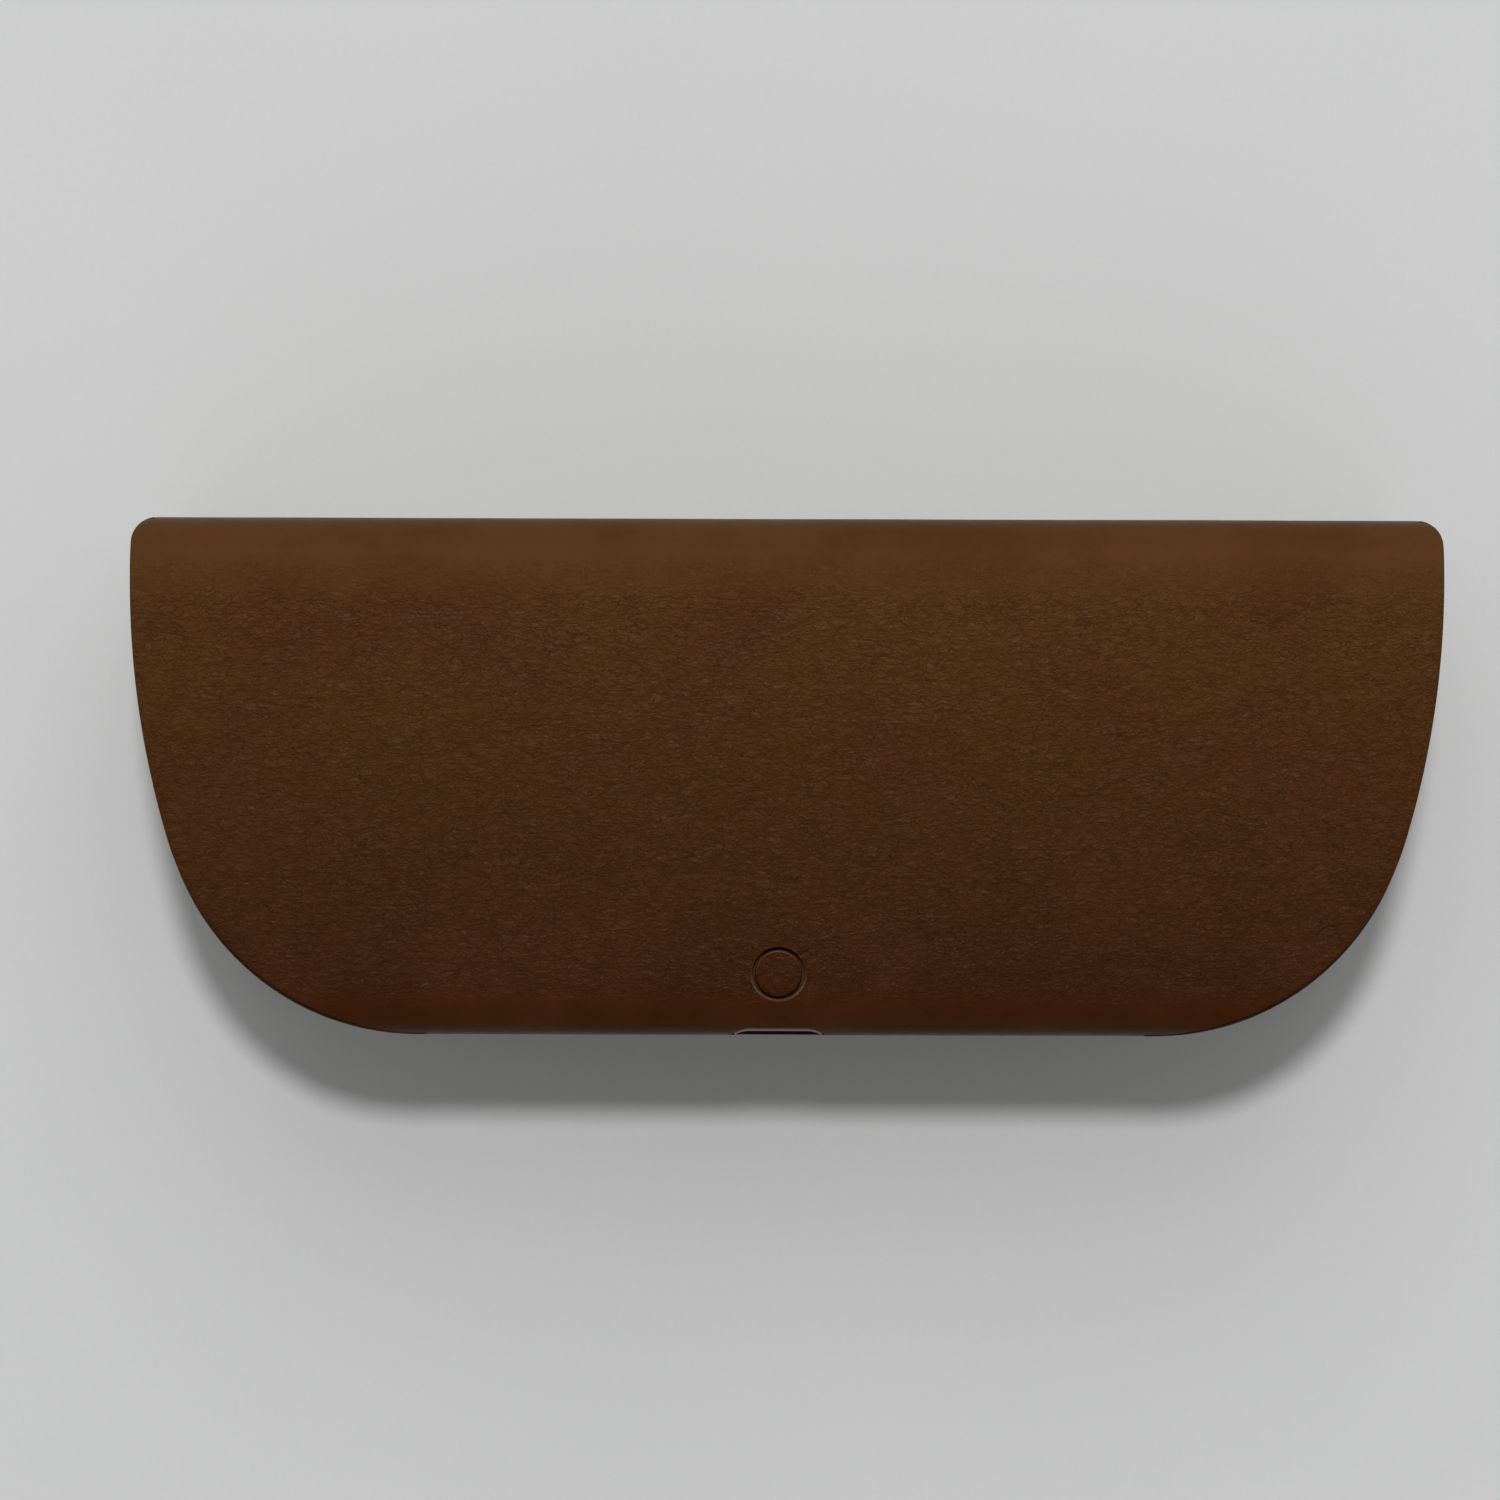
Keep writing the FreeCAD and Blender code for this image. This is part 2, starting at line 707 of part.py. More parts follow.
def charge_pin(x):
    top = block_top()
    collar = rod_along_y(x, pin_z, top - pin_collar_length - pin_fit, top - pin_fit, pin_collar)
    tip_end = saddle_crest + pad_thick + pin_proud
    tip = rod_along_y(x, pin_z, top - pin_fit, tip_end, pin_radius)
    rim_edge = [edge for edge in tip.Edges if abs(edge.CenterOfMass.y - tip_end) < 0.01]
    tip = tip.makeFillet(pin_tip_round, rim_edge)
    return collar.fuse(tip).removeSplitter()


def pin_spring(x):
    low = block_top() - pin_bore_depth
    high = block_top() - pin_collar_length - pin_fit
    outer = rod_along_y(x, pin_z, low, high, pin_collar - pin_fit)
    inner = rod_along_y(x, pin_z, low, high, pin_collar - pin_fit - spring_wall)
    return outer.cut(inner)


def flex_y():
    return block_top() - pin_bore_depth - pin_block_floor - flex_thick


def led_y():
    return flex_y() + flex_thick / 2


def pin_flex():
    """Flat cable from the board, behind the pin block, to the light at the front."""
    low = saddle_front + saddle_wall + led_thick + led_lens_proud
    return box(-flex_width / 2, flex_width / 2, flex_y(), flex_y() + flex_thick, low, board_base)


def flex_slot():
    half = flex_width / 2 + flex_slack
    return box(-half, half, flex_y() - flex_slack, flex_y() + flex_thick + flex_slack,
               shell_ceiling - past, bay_floor + past)


def status_light():
    low = saddle_front + saddle_wall + led_lens_proud
    half = led_size / 2
    return box(-half, half, led_y() - half, led_y() + half, low, low + led_thick)


def light_lens():
    return post(0, led_y(), saddle_front - led_lens_proud,
                saddle_front + saddle_wall + led_lens_proud, led_lens_radius)


def saddle_screws():
    top = bay_floor + saddle_screw_head_thick
    return group([screw(x, y, top, saddle_screw_head, saddle_screw_head_thick,
                        saddle_screw_radius, saddle_screw_length)
                  for x, y in saddle_screw_spots()])


# ---- flap ----------------------------------------------------------------------------
def flap_slab(inset, z0, z1):
    cut = box(-reach / 2, reach / 2, flap_edge, reach, z0 - past, z1 + past)
    return slab(inset, panel_corner, z0, z1).cut(cut)


def flap_leather():
    skin = flap_slab(flap_inset, 0, flap_top)
    low_edges = [edge for edge in skin.Edges
                 if edge.BoundBox.ZMax < 0.01 and edge.CenterOfMass.y < flap_edge - 0.01]
    skin = skin.makeFillet(flap_edge_round, low_edges)
    return skin.cut(slab(flap_inset + flap_skin, panel_corner, flap_skin, flap_top + past))


def flap_board():
    return flap_slab(flap_inset + flap_skin, flap_board_base, flap_lining_base)


def flap_lining():
    soft = flap_slab(flap_inset + flap_skin, flap_lining_base, flap_top)
    for side in (-1, 1):
        soft = soft.cut(magnet_box(side, magnet_fit, flap_lining_base - past,
                                   flap_lining_base + flap_magnet_thick))
    return soft


def flap_magnets():
    return group([magnet_box(side, 0, flap_lining_base, flap_lining_base + flap_magnet_thick)
                  for side in (-1, 1)])


def all_parts():
    parts = {
        "back_leather": back_leather(),
        "left_gusset": gusset(-1),
        "right_gusset": gusset(1),
        "hinge_leather": hinge_leather(),
        "tub_shell": tub_shell(),
        "back_plate": back_plate(),
        "plate_screws": plate_screws(),
        "mouth_trim": mouth_trim(),
        "inner_lining": inner_lining(),
        "rim_magnets": rim_magnets(),
        "port_bezel": port_bezel(),
        "port_socket": port_socket(),
        "port_tongue": port_tongue(),
        "main_board": main_board(),
        "board_screws": board_screws(),
        "board_chips": board_chips(),
        "battery_cell": battery_cell(),
        "battery_tape": battery_tape_strip(),
        "battery_tab": battery_tab(),
        "button_cap": button_cap(),
        "button_leather": button_leather(),
        "tact_switch": tact_switch(),
        "switch_plunger": switch_plunger(),
        "charging_saddle": charging_saddle(),
        "saddle_pad": saddle_pad(),
        "saddle_screws": saddle_screws(),
        "pin_block": pin_block(),
        "pin_flex": pin_flex(),
        "status_light": status_light(),
        "light_lens": light_lens(),
        "flap_leather": flap_leather(),
        "flap_board": flap_board(),
        "flap_lining": flap_lining(),
        "flap_magnets": flap_magnets(),
    }
    for number, x in enumerate(pin_spots(), start=1):
        parts["charge_pin_%d" % number] = charge_pin(x)
        parts["pin_spring_%d" % number] = pin_spring(x)
    return parts


os.makedirs("parts", exist_ok=True)
for name, shape in all_parts().items():
    print(name, "solids", len(shape.Solids), "valid", shape.isValid(),
          "volume %.1f" % shape.Volume)
    shape.exportStep("parts/" + name + ".step")
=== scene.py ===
import math

import bpy
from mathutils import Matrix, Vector, noise


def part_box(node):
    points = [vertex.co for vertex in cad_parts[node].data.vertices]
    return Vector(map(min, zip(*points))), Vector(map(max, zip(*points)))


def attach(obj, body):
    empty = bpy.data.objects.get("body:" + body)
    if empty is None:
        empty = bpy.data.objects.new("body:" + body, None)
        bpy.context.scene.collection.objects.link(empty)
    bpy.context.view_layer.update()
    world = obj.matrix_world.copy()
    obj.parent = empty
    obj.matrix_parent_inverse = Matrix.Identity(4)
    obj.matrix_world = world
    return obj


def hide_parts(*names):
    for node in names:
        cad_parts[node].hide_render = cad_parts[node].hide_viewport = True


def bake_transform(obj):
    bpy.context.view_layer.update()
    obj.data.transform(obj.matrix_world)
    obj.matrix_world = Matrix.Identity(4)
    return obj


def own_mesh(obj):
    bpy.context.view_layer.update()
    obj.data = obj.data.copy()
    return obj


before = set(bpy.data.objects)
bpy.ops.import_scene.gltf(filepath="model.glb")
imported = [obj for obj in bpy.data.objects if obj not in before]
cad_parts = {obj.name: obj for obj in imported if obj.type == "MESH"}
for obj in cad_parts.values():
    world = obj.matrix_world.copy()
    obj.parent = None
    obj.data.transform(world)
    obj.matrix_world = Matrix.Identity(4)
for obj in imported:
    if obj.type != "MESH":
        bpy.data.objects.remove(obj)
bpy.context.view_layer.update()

mm = 0.001


# sizes read from the frame
def sizeOf(node):
    low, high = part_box(node)
    return Vector(low), Vector(high)


backLow, backHigh = sizeOf("back_leather")
flapHigh = sizeOf("flap_leather")[1]
halfLength = backHigh.x
halfHeight = backHigh.y
topFace = backHigh.z
rimZ = backLow.z

caseShape = {
    "topCorner": 3 * mm,        # corners beside the spine
    "straightDrop": 8 * mm,     # straight stretch of each end
    "endRadius": 110 * mm,      # slow curve of each end
    "panelCorner": 34 * mm,     # lower corners of the back sheet
    "gussetCorner": 32 * mm,    # lower corners of the end leather
    "spineRoll": 7 * mm,
    "portRoll": 5 * mm,
    "leather": 1.2 * mm,
}


endX = halfLength - caseShape["endRadius"]     # centre of the slow curve
endY = halfHeight - caseShape["straightDrop"]


def cornerCentre(corner):
    y = corner - halfHeight
    run = math.sqrt((caseShape["endRadius"] - corner) ** 2 - (endY - y) ** 2)
    return endX + run, y


def halfWidthAt(y, inset):
    # half width of the outline at a height y
    small, corner = caseShape["topCorner"], caseShape["panelCorner"]
    if y > halfHeight - small:
        rise = min(y - (halfHeight - small), small - inset)
        return halfLength - small + math.sqrt(max((small - inset) ** 2 - rise ** 2, 0))
    if y >= endY:
        return halfLength - inset
    cx, cy = cornerCentre(corner)
    onEnd = endX + math.sqrt((caseShape["endRadius"] - inset) ** 2 - (y - endY) ** 2)
    if (y - endY) > (cy - endY) / (cx - endX) * (onEnd - endX):
        return onEnd
    return cx + math.sqrt(max((corner - inset) ** 2 - (y - cy) ** 2, 0))


def underSheet(y, depth):
    # height of the sheet's surface, depth below its outer face, at a place y
    spine, port = caseShape["spineRoll"], caseShape["portRoll"]
    fromSpine = y - (halfHeight - spine)
    fromPort = (port - halfHeight) - y
    if fromSpine > 0:
        r = spine - depth
        return topFace - spine + math.sqrt(max(r * r - min(fromSpine, r) ** 2, 0))
    if fromPort > 0:
        r = port - depth
        return topFace - port + math.sqrt(max(r * r - min(fromPort, r) ** 2, 0))
    return topFace - depth


# modelling steps
def deselectAll():
    # leaves edit mode first, so every step below can follow another directly
    if bpy.context.mode != "OBJECT":
        bpy.ops.object.mode_set(mode="OBJECT")
    bpy.ops.object.select_all(action="DESELECT")


def pick(piece):
    deselectAll()
    piece.select_set(True)
    bpy.context.view_layer.objects.active = piece


def beginEdit(piece):
    pick(piece)
    bpy.ops.object.mode_set(mode="EDIT")


def endEdit():
    bpy.ops.object.mode_set(mode="OBJECT")


def newPiece(name):
    piece = bpy.context.object
    piece.name = name
    piece.data.name = name
    return piece


def settle(piece):
    # puts the place, turn and scale of a piece into its mesh
    pick(piece)
    bpy.ops.object.transform_apply(location=True, rotation=True, scale=True)
    return piece


def applyModifier(piece, kind, **settings):
    pick(piece)
    modifier = piece.modifiers.new(kind.title(), kind)
    for key, value in settings.items():
        setattr(modifier, key, value)
    bpy.ops.object.modifier_apply(modifier=modifier.name)


def roundEdges(piece, width, segments, angle):
    # only the edges sharper than the angle, in degrees
    applyModifier(piece, "BEVEL", width=width, segments=segments, limit_method="ANGLE",
                  angle_limit=math.radians(angle))


def smooth(piece, angle):
    pick(piece)
    bpy.ops.object.shade_smooth_by_angle(angle=math.radians(angle))
    return piece


def selectAll(way="SELECT"):
    bpy.ops.mesh.select_all(action=way)


def editAll(piece):
    beginEdit(piece)
    bpy.ops.mesh.select_mode(type="VERT")
    selectAll()


def fixNormals(piece):
    editAll(piece)
    bpy.ops.mesh.remove_doubles(threshold=0.01 * mm)
    bpy.ops.mesh.normals_make_consistent(inside=False)
    endEdit()


def startWire(name, point):
    # a piece that is one selected vertex, in edit mode, ready to be drawn out
    deselectAll()
    bpy.ops.mesh.primitive_plane_add(size=mm, location=(0, 0, 0))
    piece = newPiece(name)
    editAll(piece)
    bpy.ops.mesh.merge(type="CENTER")
    bpy.ops.transform.translate(value=point)
    return piece


def drawLine(step, count=1):
    # pulls what is selected out by a step, as often as the count says
    for _ in range(count):
        bpy.ops.mesh.extrude_region_move(TRANSFORM_OT_translate={"value": step})


def drawArc(centre, angle, steps, axis=(0, 0, 1)):
    # turns anticlockwise about the axis; the operator counts the other way
    bpy.ops.mesh.spin(steps=steps, angle=-angle, center=centre, axis=axis)


def drawOutline(name, inset, z, small=None):
    # the outline as a closed wire: its right half from lines and arcs, then mirrored
    small = small or caseShape["topCorner"] - inset
    right, top = halfLength - inset, halfHeight - inset
    lowX, lowY = cornerCentre(caseShape["panelCorner"])
    turn = math.atan2(lowY - endY, lowX - endX)
    piece = startWire(name, (0, top, z))
    drawLine(((right - small) / 40, 0, 0), 40)
    drawArc((right - small, top - small, z), -math.pi / 2, 8)
    drawLine((0, endY - top + small, 0))
    drawArc((endX, endY, z), turn, 24)
    drawArc((lowX, lowY, z), -math.pi / 2 - turn, 32)
    drawLine((-lowX / 24, 0, 0), 24)
    applyModifier(piece, "MIRROR", use_axis=(True, False, False), merge_threshold=0.01 * mm)
    return piece


def edgeDistance(x, y, inset):
    # how far a place lies inside the outline
    x = abs(x)
    corner = caseShape["panelCorner"]
    cx, cy = cornerCentre(corner)
    if y > endY:
        side = halfLength - inset - x
    else:
        side = caseShape["endRadius"] - inset - math.hypot(x - endX, y - endY)
    if x > cx and (y - endY) * (cx - endX) < (cy - endY) * (x - endX):
        side = corner - inset - math.hypot(x - cx, y - cy)
    return min(side, y + halfHeight - inset)


def joinPieces(pieces, name):
    deselectAll()
    for piece in pieces:
        piece.select_set(True)
    bpy.context.view_layer.objects.active = pieces[0]
    bpy.ops.object.join()
    return newPiece(name)


def wrapSheet(name, columns, rows, inset, place):
    # a flat grid as wide as the outline, bent over a section: place(t) gives (y, z)
    deselectAll()
    bpy.ops.mesh.primitive_grid_add(x_subdivisions=columns, y_subdivisions=rows, size=2)
    piece = newPiece(name)
    for vertex in piece.data.vertices:
        across, along = vertex.co.x, (vertex.co.y + 1) / 2
        y, z = place(along)
        vertex.co = (across * halfWidthAt(y, inset), y, z)
    return piece


def alongProfile(distance, profile):
    # a point on a section made of straight runs and rolls
    for kind, start, length, values in profile:
        if distance <= start + length or (kind, start, length, values) == profile[-1]:
            s = min(distance - start, length)
            if kind == "line":
                (y0, z0), (dy, dz) = values
                return y0 + dy * s, z0 + dz * s
            (cy, cz), radius, first = values
            angle = first + s / radius
            return cy + radius * math.cos(angle), cz + radius * math.sin(angle)


# back sheet
backSheetLook = {
    "columns": 150,
    "rows": 190,
    "foldEdge": 8 * mm,        # lower edge on the spine face
    "crown": 0.35 * mm,        # padding under the middle of the back
    "wave": 0.05 * mm,         # slow unevenness of the glued leather
    "edgeRound": 0.45 * mm,
    "holeRound": 0.16 * mm,
}


def backProfile():
    spine, port = caseShape["spineRoll"], caseShape["portRoll"]
    runs = []
    total = 0

    def add(kind, length, values):
        nonlocal total
        runs.append((kind, total, length, values))
        total += length

    fold = backSheetLook["foldEdge"]
    add("line", topFace - spine - fold, ((halfHeight, fold), (0, 1)))
    add("arc", spine * math.pi / 2, ((halfHeight - spine, topFace - spine), spine, 0))
    add("line", 2 * halfHeight - spine - port, ((halfHeight - spine, topFace), (-1, 0)))
    add("arc", port * math.pi / 2, ((port - halfHeight, topFace - port), port, math.pi / 2))
    add("line", topFace - port - rimZ, ((-halfHeight, topFace - port), (0, -1)))
    return runs, total


def makeBackSheet():
    profile, total = backProfile()
    roll = caseShape["spineRoll"]
    piece = wrapSheet("backSheet", backSheetLook["columns"], backSheetLook["rows"],
                      0, lambda t: alongProfile(t * total, profile))
    for vertex in piece.data.vertices:
        x, y, z = vertex.co
        crown = backCrownAt(x, y) if z > topFace - mm else 0
        lift = crown + backSheetLook["wave"] * noise.noise(Vector((x * 45, y * 60, z * 60)))
        facing = Vector((0, y * 0.2, z - topFace + roll))
        if z < topFace - roll:
            facing = Vector((0, 1 if y > 0 else -1, 0))
        vertex.co += facing.normalized() * lift
    fixNormals(piece)
    applyModifier(piece, "SOLIDIFY", thickness=caseShape["leather"], offset=-1)
    roundEdges(piece, backSheetLook["edgeRound"], 3, 50)
    cutHoles(piece)
    roundEdges(piece, backSheetLook["holeRound"], 3, 50)
    return smooth(piece, 50)


def backCrownAt(x, y):
    ends = max(0, 1 - (x / halfLength) ** 2)
    onBack = max(0, 1 - ((y + mm) / (0.9 * halfHeight)) ** 2)
    return backSheetLook["crown"] * ends * onBack


def backSheetCut():
    # the flat leather: its width at each place along the section, less the two holes
    profile, total = backProfile()
    steps = 200
    widths = [halfWidthAt(alongProfile(total * (step + 0.5) / steps, profile)[0], 0)
              for step in range(steps)]
    holes = math.pi * buttonLook["holeRadius"] ** 2 + portLook["cutWidth"] * portLook["cutHeight"]
    return total, 2 * sum(widths) * total / steps - holes


def cutHoles(piece):
    button = makeRound("buttonCutter", buttonLook["holeRadius"], 6 * mm,
                       Vector((buttonPlace.x, buttonPlace.y, topFace)), "Z", 64)
    port = makePill("portCutter", portLook["cutWidth"], portLook["cutHeight"], 8 * mm,
                    portPlace)
    cutAway(piece, (button, port))


def cutAway(piece, cutters):
    for cutter in cutters:
        applyModifier(piece, "BOOLEAN", object=cutter, operation="DIFFERENCE", solver="EXACT")
        bpy.data.objects.remove(cutter)


def makeBox(name, size, centre):
    deselectAll()
    bpy.ops.mesh.primitive_cube_add(size=1, location=centre)
    piece = newPiece(name)
    piece.scale = size
    return settle(piece)


def makeRound(name, radius, depth, centre, axis, count):
    deselectAll()
    turn = {"Z": (0, 0, 0), "Y": (math.pi / 2, 0, 0)}[axis]
    bpy.ops.mesh.primitive_cylinder_add(vertices=count, radius=radius, depth=depth,
                                        location=centre, rotation=turn)
    return settle(newPiece(name))


def makePill(name, wide, high, depth, centre):
    # a rounded slot block along Y, drawn as an outline and pulled out
    r = high / 2
    run = wide / 2 - r
    piece = startWire(name, (centre.x - run, centre.y - depth / 2, centre.z + r))
    drawLine((2 * run / 6, 0, 0), 6)
    drawArc((centre.x + run, centre.y - depth / 2, centre.z), math.pi, 16, (0, 1, 0))
    drawLine((-2 * run / 6, 0, 0), 6)
    drawArc((centre.x - run, centre.y - depth / 2, centre.z), math.pi, 16, (0, 1, 0))
    selectAll()
    bpy.ops.mesh.remove_doubles(threshold=0.01 * mm)
    bpy.ops.mesh.edge_face_add()
    drawLine((0, depth, 0))
    fixNormals(piece)
    return piece


# end leather
gussetLook = {
    "rows": 22,
    "bulge": 0.55 * mm,        # soft swell half way down
    "wave": 0.10 * mm,
    "tuck": 0.05 * mm,         # gap under the back sheet
    "reach": 1.5 * mm,         # the top edge meets the sheet this far in from its edge
    "edgeRound": 0.5 * mm,
    "seamX": 44.2 * mm,        # where it meets the back sheet on the port face
    "seamFade": 6 * mm,        # the swell dies out towards the seam and the spine
    "spineFade": 4 * mm,
    "faceX": 30 * mm,          # the wall swells away from here
}


def makeGusset(name, side):
    small = caseShape["topCorner"]
    corner = caseShape["gussetCorner"]
    lowX, lowY = cornerCentre(corner)
    turn = math.atan2(lowY - endY, lowX - endX)
    piece = startWire(name, (halfLength - small + 0.1 * mm, halfHeight, 0))
    drawArc((halfLength - small, halfHeight - small, 0), -math.pi / 2, 8)
    drawLine((0, (endY - halfHeight + small) / 5, 0), 5)
    drawArc((endX, endY, 0), turn, 34)
    drawArc((lowX, lowY, 0), -math.pi / 2 - turn, 44)
    drawLine(((gussetLook["seamX"] - lowX) / 2, 0, 0), 2)
    selectAll()
    rows = gussetLook["rows"]
    drawLine((0, 0, mm), rows)
    endEdit()
    for vertex in piece.data.vertices:
        x, y, z = vertex.co
        t = z / mm / rows
        inward = y + gussetLook["reach"] * max(-1, min(1, -y / (25 * mm)))
        low, high = rimZ, underSheet(inward, caseShape["leather"]) - gussetLook["tuck"]
        swell = gussetLook["bulge"] * math.sin(math.pi * min(1, t * 1.02)) ** 0.7
        swell *= min(1, max(0, (x - gussetLook["seamX"]) / gussetLook["seamFade"]))
        swell *= min(1, max(0, (halfHeight - y) / gussetLook["spineFade"]))
        slow = gussetLook["wave"] * noise.noise(Vector((x * 70 + side, y * 70, t * 3)))
        outward = Vector((x - gussetLook["faceX"], y * 0.6, 0)).normalized()
        vertex.co.z = low + (high - low) * t
        vertex.co += outward * (swell + slow * math.sin(math.pi * t))
    fixNormals(piece)
    if side < 0:
        applyModifier(piece, "MIRROR", use_axis=(True, False, False),
                      use_bisect_axis=(True, False, False))
        keepSide(piece, -1)
    outwards(piece, lambda c: Vector((c.x, c.y * 0.5, 0)))
    applyModifier(piece, "SOLIDIFY", thickness=caseShape["leather"], offset=-1)
    roundEdges(piece, gussetLook["edgeRound"], 3, 50)
    return smooth(piece, 50)


def gussetCut():
    # the strip it is cut from: the run round the end, and its height
    corner, small = caseShape["gussetCorner"], caseShape["topCorner"]
    lowX, lowY = cornerCentre(corner)
    turn = math.atan2(endY - lowY, lowX - endX)
    run = small * math.pi / 2 + halfHeight - small - endY + caseShape["endRadius"] * turn
    run += corner * (math.pi / 2 - turn) + lowX - gussetLook["seamX"]
    return run, topFace - caseShape["leather"] - rimZ


def keepSide(piece, side):
    beginEdit(piece)
    selectAll("DESELECT")
    endEdit()
    for vertex in piece.data.vertices:
        vertex.select = vertex.co.x * side < 0
    beginEdit(piece)
    bpy.ops.mesh.select_mode(type="VERT")
    bpy.ops.mesh.delete(type="VERT")
    endEdit()


def outwards(piece, direction):
    # turns an open shell so that its faces look the given way
    total = sum(face.normal.dot(direction(face.center)) * face.area for face in piece.data.polygons)
    if total < 0:
        beginEdit(piece)
        selectAll()
        bpy.ops.mesh.flip_normals()
        endEdit()


# hinge fold
foldLook = {
    "columns": 161,
    "endGap": 0.5 * mm,
    "radius": 3 * mm,          # of the bend under the spine face
    "overlap": 1.5 * mm,       # tucked under the back sheet and the flap leather
    "jog": 1.25 * mm,          # step in under the back sheet
    "edgeRound": 0.3 * mm,
    "wave": 0.06 * mm,
    "thick": 1.0 * mm,
}


def makeHingeFold():
    radius, jog = foldLook["radius"], foldLook["jog"]
    hingeY, hingeZ = halfHeight - radius, radius
    half = halfLength - foldLook["endGap"]
    piece = startWire("hingeFold", (-half, flapHigh.y - 0.2 * mm, 0.05 * mm))
    drawLine((0, (hingeY - flapHigh.y + 0.2 * mm) / 3, 0), 3)
    drawArc((-half, hingeY, hingeZ), math.pi / 2, 14, (1, 0, 0))
    drawLine((0, 0, (backSheetLook["foldEdge"] - hingeZ) / 8), 8)
    drawLine((0, -jog, foldLook["overlap"] / 2))
    drawLine((0, 0, foldLook["overlap"] / 2))
    selectAll()
    drawLine((2 * half / foldLook["columns"], 0, 0), foldLook["columns"])
    fixNormals(piece)
    outwards(piece, lambda c: Vector((0, c.y - hingeY + mm, c.z - hingeZ - mm)))
    small = caseShape["topCorner"]
    for vertex in piece.data.vertices:
        x, y, z = vertex.co
        over = max(0, abs(x) - (halfLength - small))
        back = small - math.sqrt(small ** 2 - over ** 2)
        vertex.co.y -= back * (y - flapHigh.y) / (halfHeight - flapHigh.y)
        vertex.co.y += foldLook["wave"] * noise.noise(vertex.co * 90)
    applyModifier(piece, "SOLIDIFY", thickness=foldLook["thick"], offset=-1)
    roundEdges(piece, foldLook["edgeRound"], 2, 60)
    return smooth(piece, 50)


def foldCut():
    radius = foldLook["radius"]
    along = halfHeight - radius - flapHigh.y + radius * math.pi / 2
    along += backSheetLook["foldEdge"] - radius + foldLook["overlap"] + foldLook["jog"]
    return 2 * (halfLength - foldLook["endGap"]), along


# flap
flapLook = {
    "inset": 1.0 * mm,
    "skin": 1.1 * mm,
    "edgeRound": 1.6 * mm,
    "rimRound": 0.35 * mm,
    "cushionInset": 2.2 * mm,
    "cushionBase": 2.6 * mm,
    "cushionEdge": 0.42 * mm,  # how fast the pad rounds off at its edge
    "channelIn": 6.0 * mm,     # sewn channel inside the pad's edge
    "channelWide": 0.7 * mm,
    "channelDeep": 0.45 * mm,
    "swell": 0.25 * mm,
}


def cutAtHinge(piece, y):
    editAll(piece)
    bpy.ops.mesh.bisect(plane_co=(0, y, 0), plane_no=(0, 1, 0), use_fill=True,
                        clear_outer=True)
    endEdit()


def selectFaces(piece, test):
    beginEdit(piece)
    bpy.ops.mesh.select_mode(type="FACE")
    selectAll("DESELECT")
    endEdit()
    for face in piece.data.polygons:
        face.select = test(face)
    beginEdit(piece)


def makeFlapSkin():
    # leather tray: the front face and its turned edge, with a pocket for the board
    piece = drawOutline("flapSkin", flapLook["inset"], 0)
    editAll(piece)
    bpy.ops.mesh.edge_face_add()
    drawLine((0, 0, flapHigh.z))
    fixNormals(piece)
    cutAtHinge(piece, flapHigh.y)
    fixNormals(piece)
    selectFaces(piece, lambda face: face.normal.z > 0.9)
    bpy.ops.mesh.inset(thickness=flapLook["skin"])
    drawLine((0, 0, flapLook["skin"] - flapHigh.z))
    selectFaces(piece, lambda face: face.normal.z < -0.9)
    bpy.ops.mesh.region_to_loop()
    bpy.ops.mesh.bevel(offset=flapLook["edgeRound"], segments=6, affect="EDGES")
    roundEdges(piece, flapLook["rimRound"], 3, 60)
    return smooth(piece, 40)


def makeFlapCushion():
    # soft lining of the flap: a thin pad with a sewn channel along its edge
    inset = flapLook["cushionInset"]
    low, high = inset - halfHeight, flapHigh.y - 0.4 * mm
    base, thick = flapLook["cushionBase"], flapHigh.z - flapLook["cushionBase"]
    piece = wrapSheet("flapCushion", 220, 90, inset, lambda t: (low + (high - low) * t, base))
    for vertex in piece.data.vertices:
        x, y, z = vertex.co
        depth = max(0, min(edgeDistance(x, y, inset), high - y))
        rise = 1 - math.exp(-depth / flapLook["cushionEdge"])
        channel = math.exp(-((depth - flapLook["channelIn"]) / flapLook["channelWide"]) ** 2)
        slow = noise.noise(Vector((x * 40, y * 40, 3)))
        lift = thick * rise - flapLook["channelDeep"] * channel
        inner = min(1, max(0, depth - flapLook["channelIn"]) / (8 * mm))
        vertex.co.z = base + lift + flapLook["swell"] * inner + 0.08 * mm * slow * rise
    fixNormals(piece)
    outwards(piece, lambda c: Vector((0, 0, 1)))
    editAll(piece)
    selectAll("DESELECT")
    bpy.ops.mesh.select_non_manifold()
    drawLine((0, 0, -0.02 * mm))
    bpy.ops.mesh.edge_face_add()
    fixNormals(piece)
    return smooth(piece, 60)


# mouth and lining
trimLook = {
    "outerInset": 0.5 * mm,
    "innerInset": 3.1 * mm,
    "cornerRound": 2.5 * mm,
    "edgeRound": 0.42 * mm,
}


def makeMouthTrim():
    # bound edge of leather round the mouth, open at the hinge
    low, high = sizeOf("mouth_trim")
    rings = [drawOutline("mouthEdging", inset, low.z, trimLook["cornerRound"])
             for inset in (trimLook["outerInset"], trimLook["innerInset"])]
    piece = joinPieces(rings, "mouthEdging")
    editAll(piece)
    bpy.ops.mesh.bridge_edge_loops()
    selectAll()
    drawLine((0, 0, high.z - low.z))
    fixNormals(piece)
    cutAtHinge(piece, halfHeight - caseShape["leather"])
    fixNormals(piece)
    roundEdges(piece, trimLook["edgeRound"], 4, 60)
    return smooth(piece, 45)


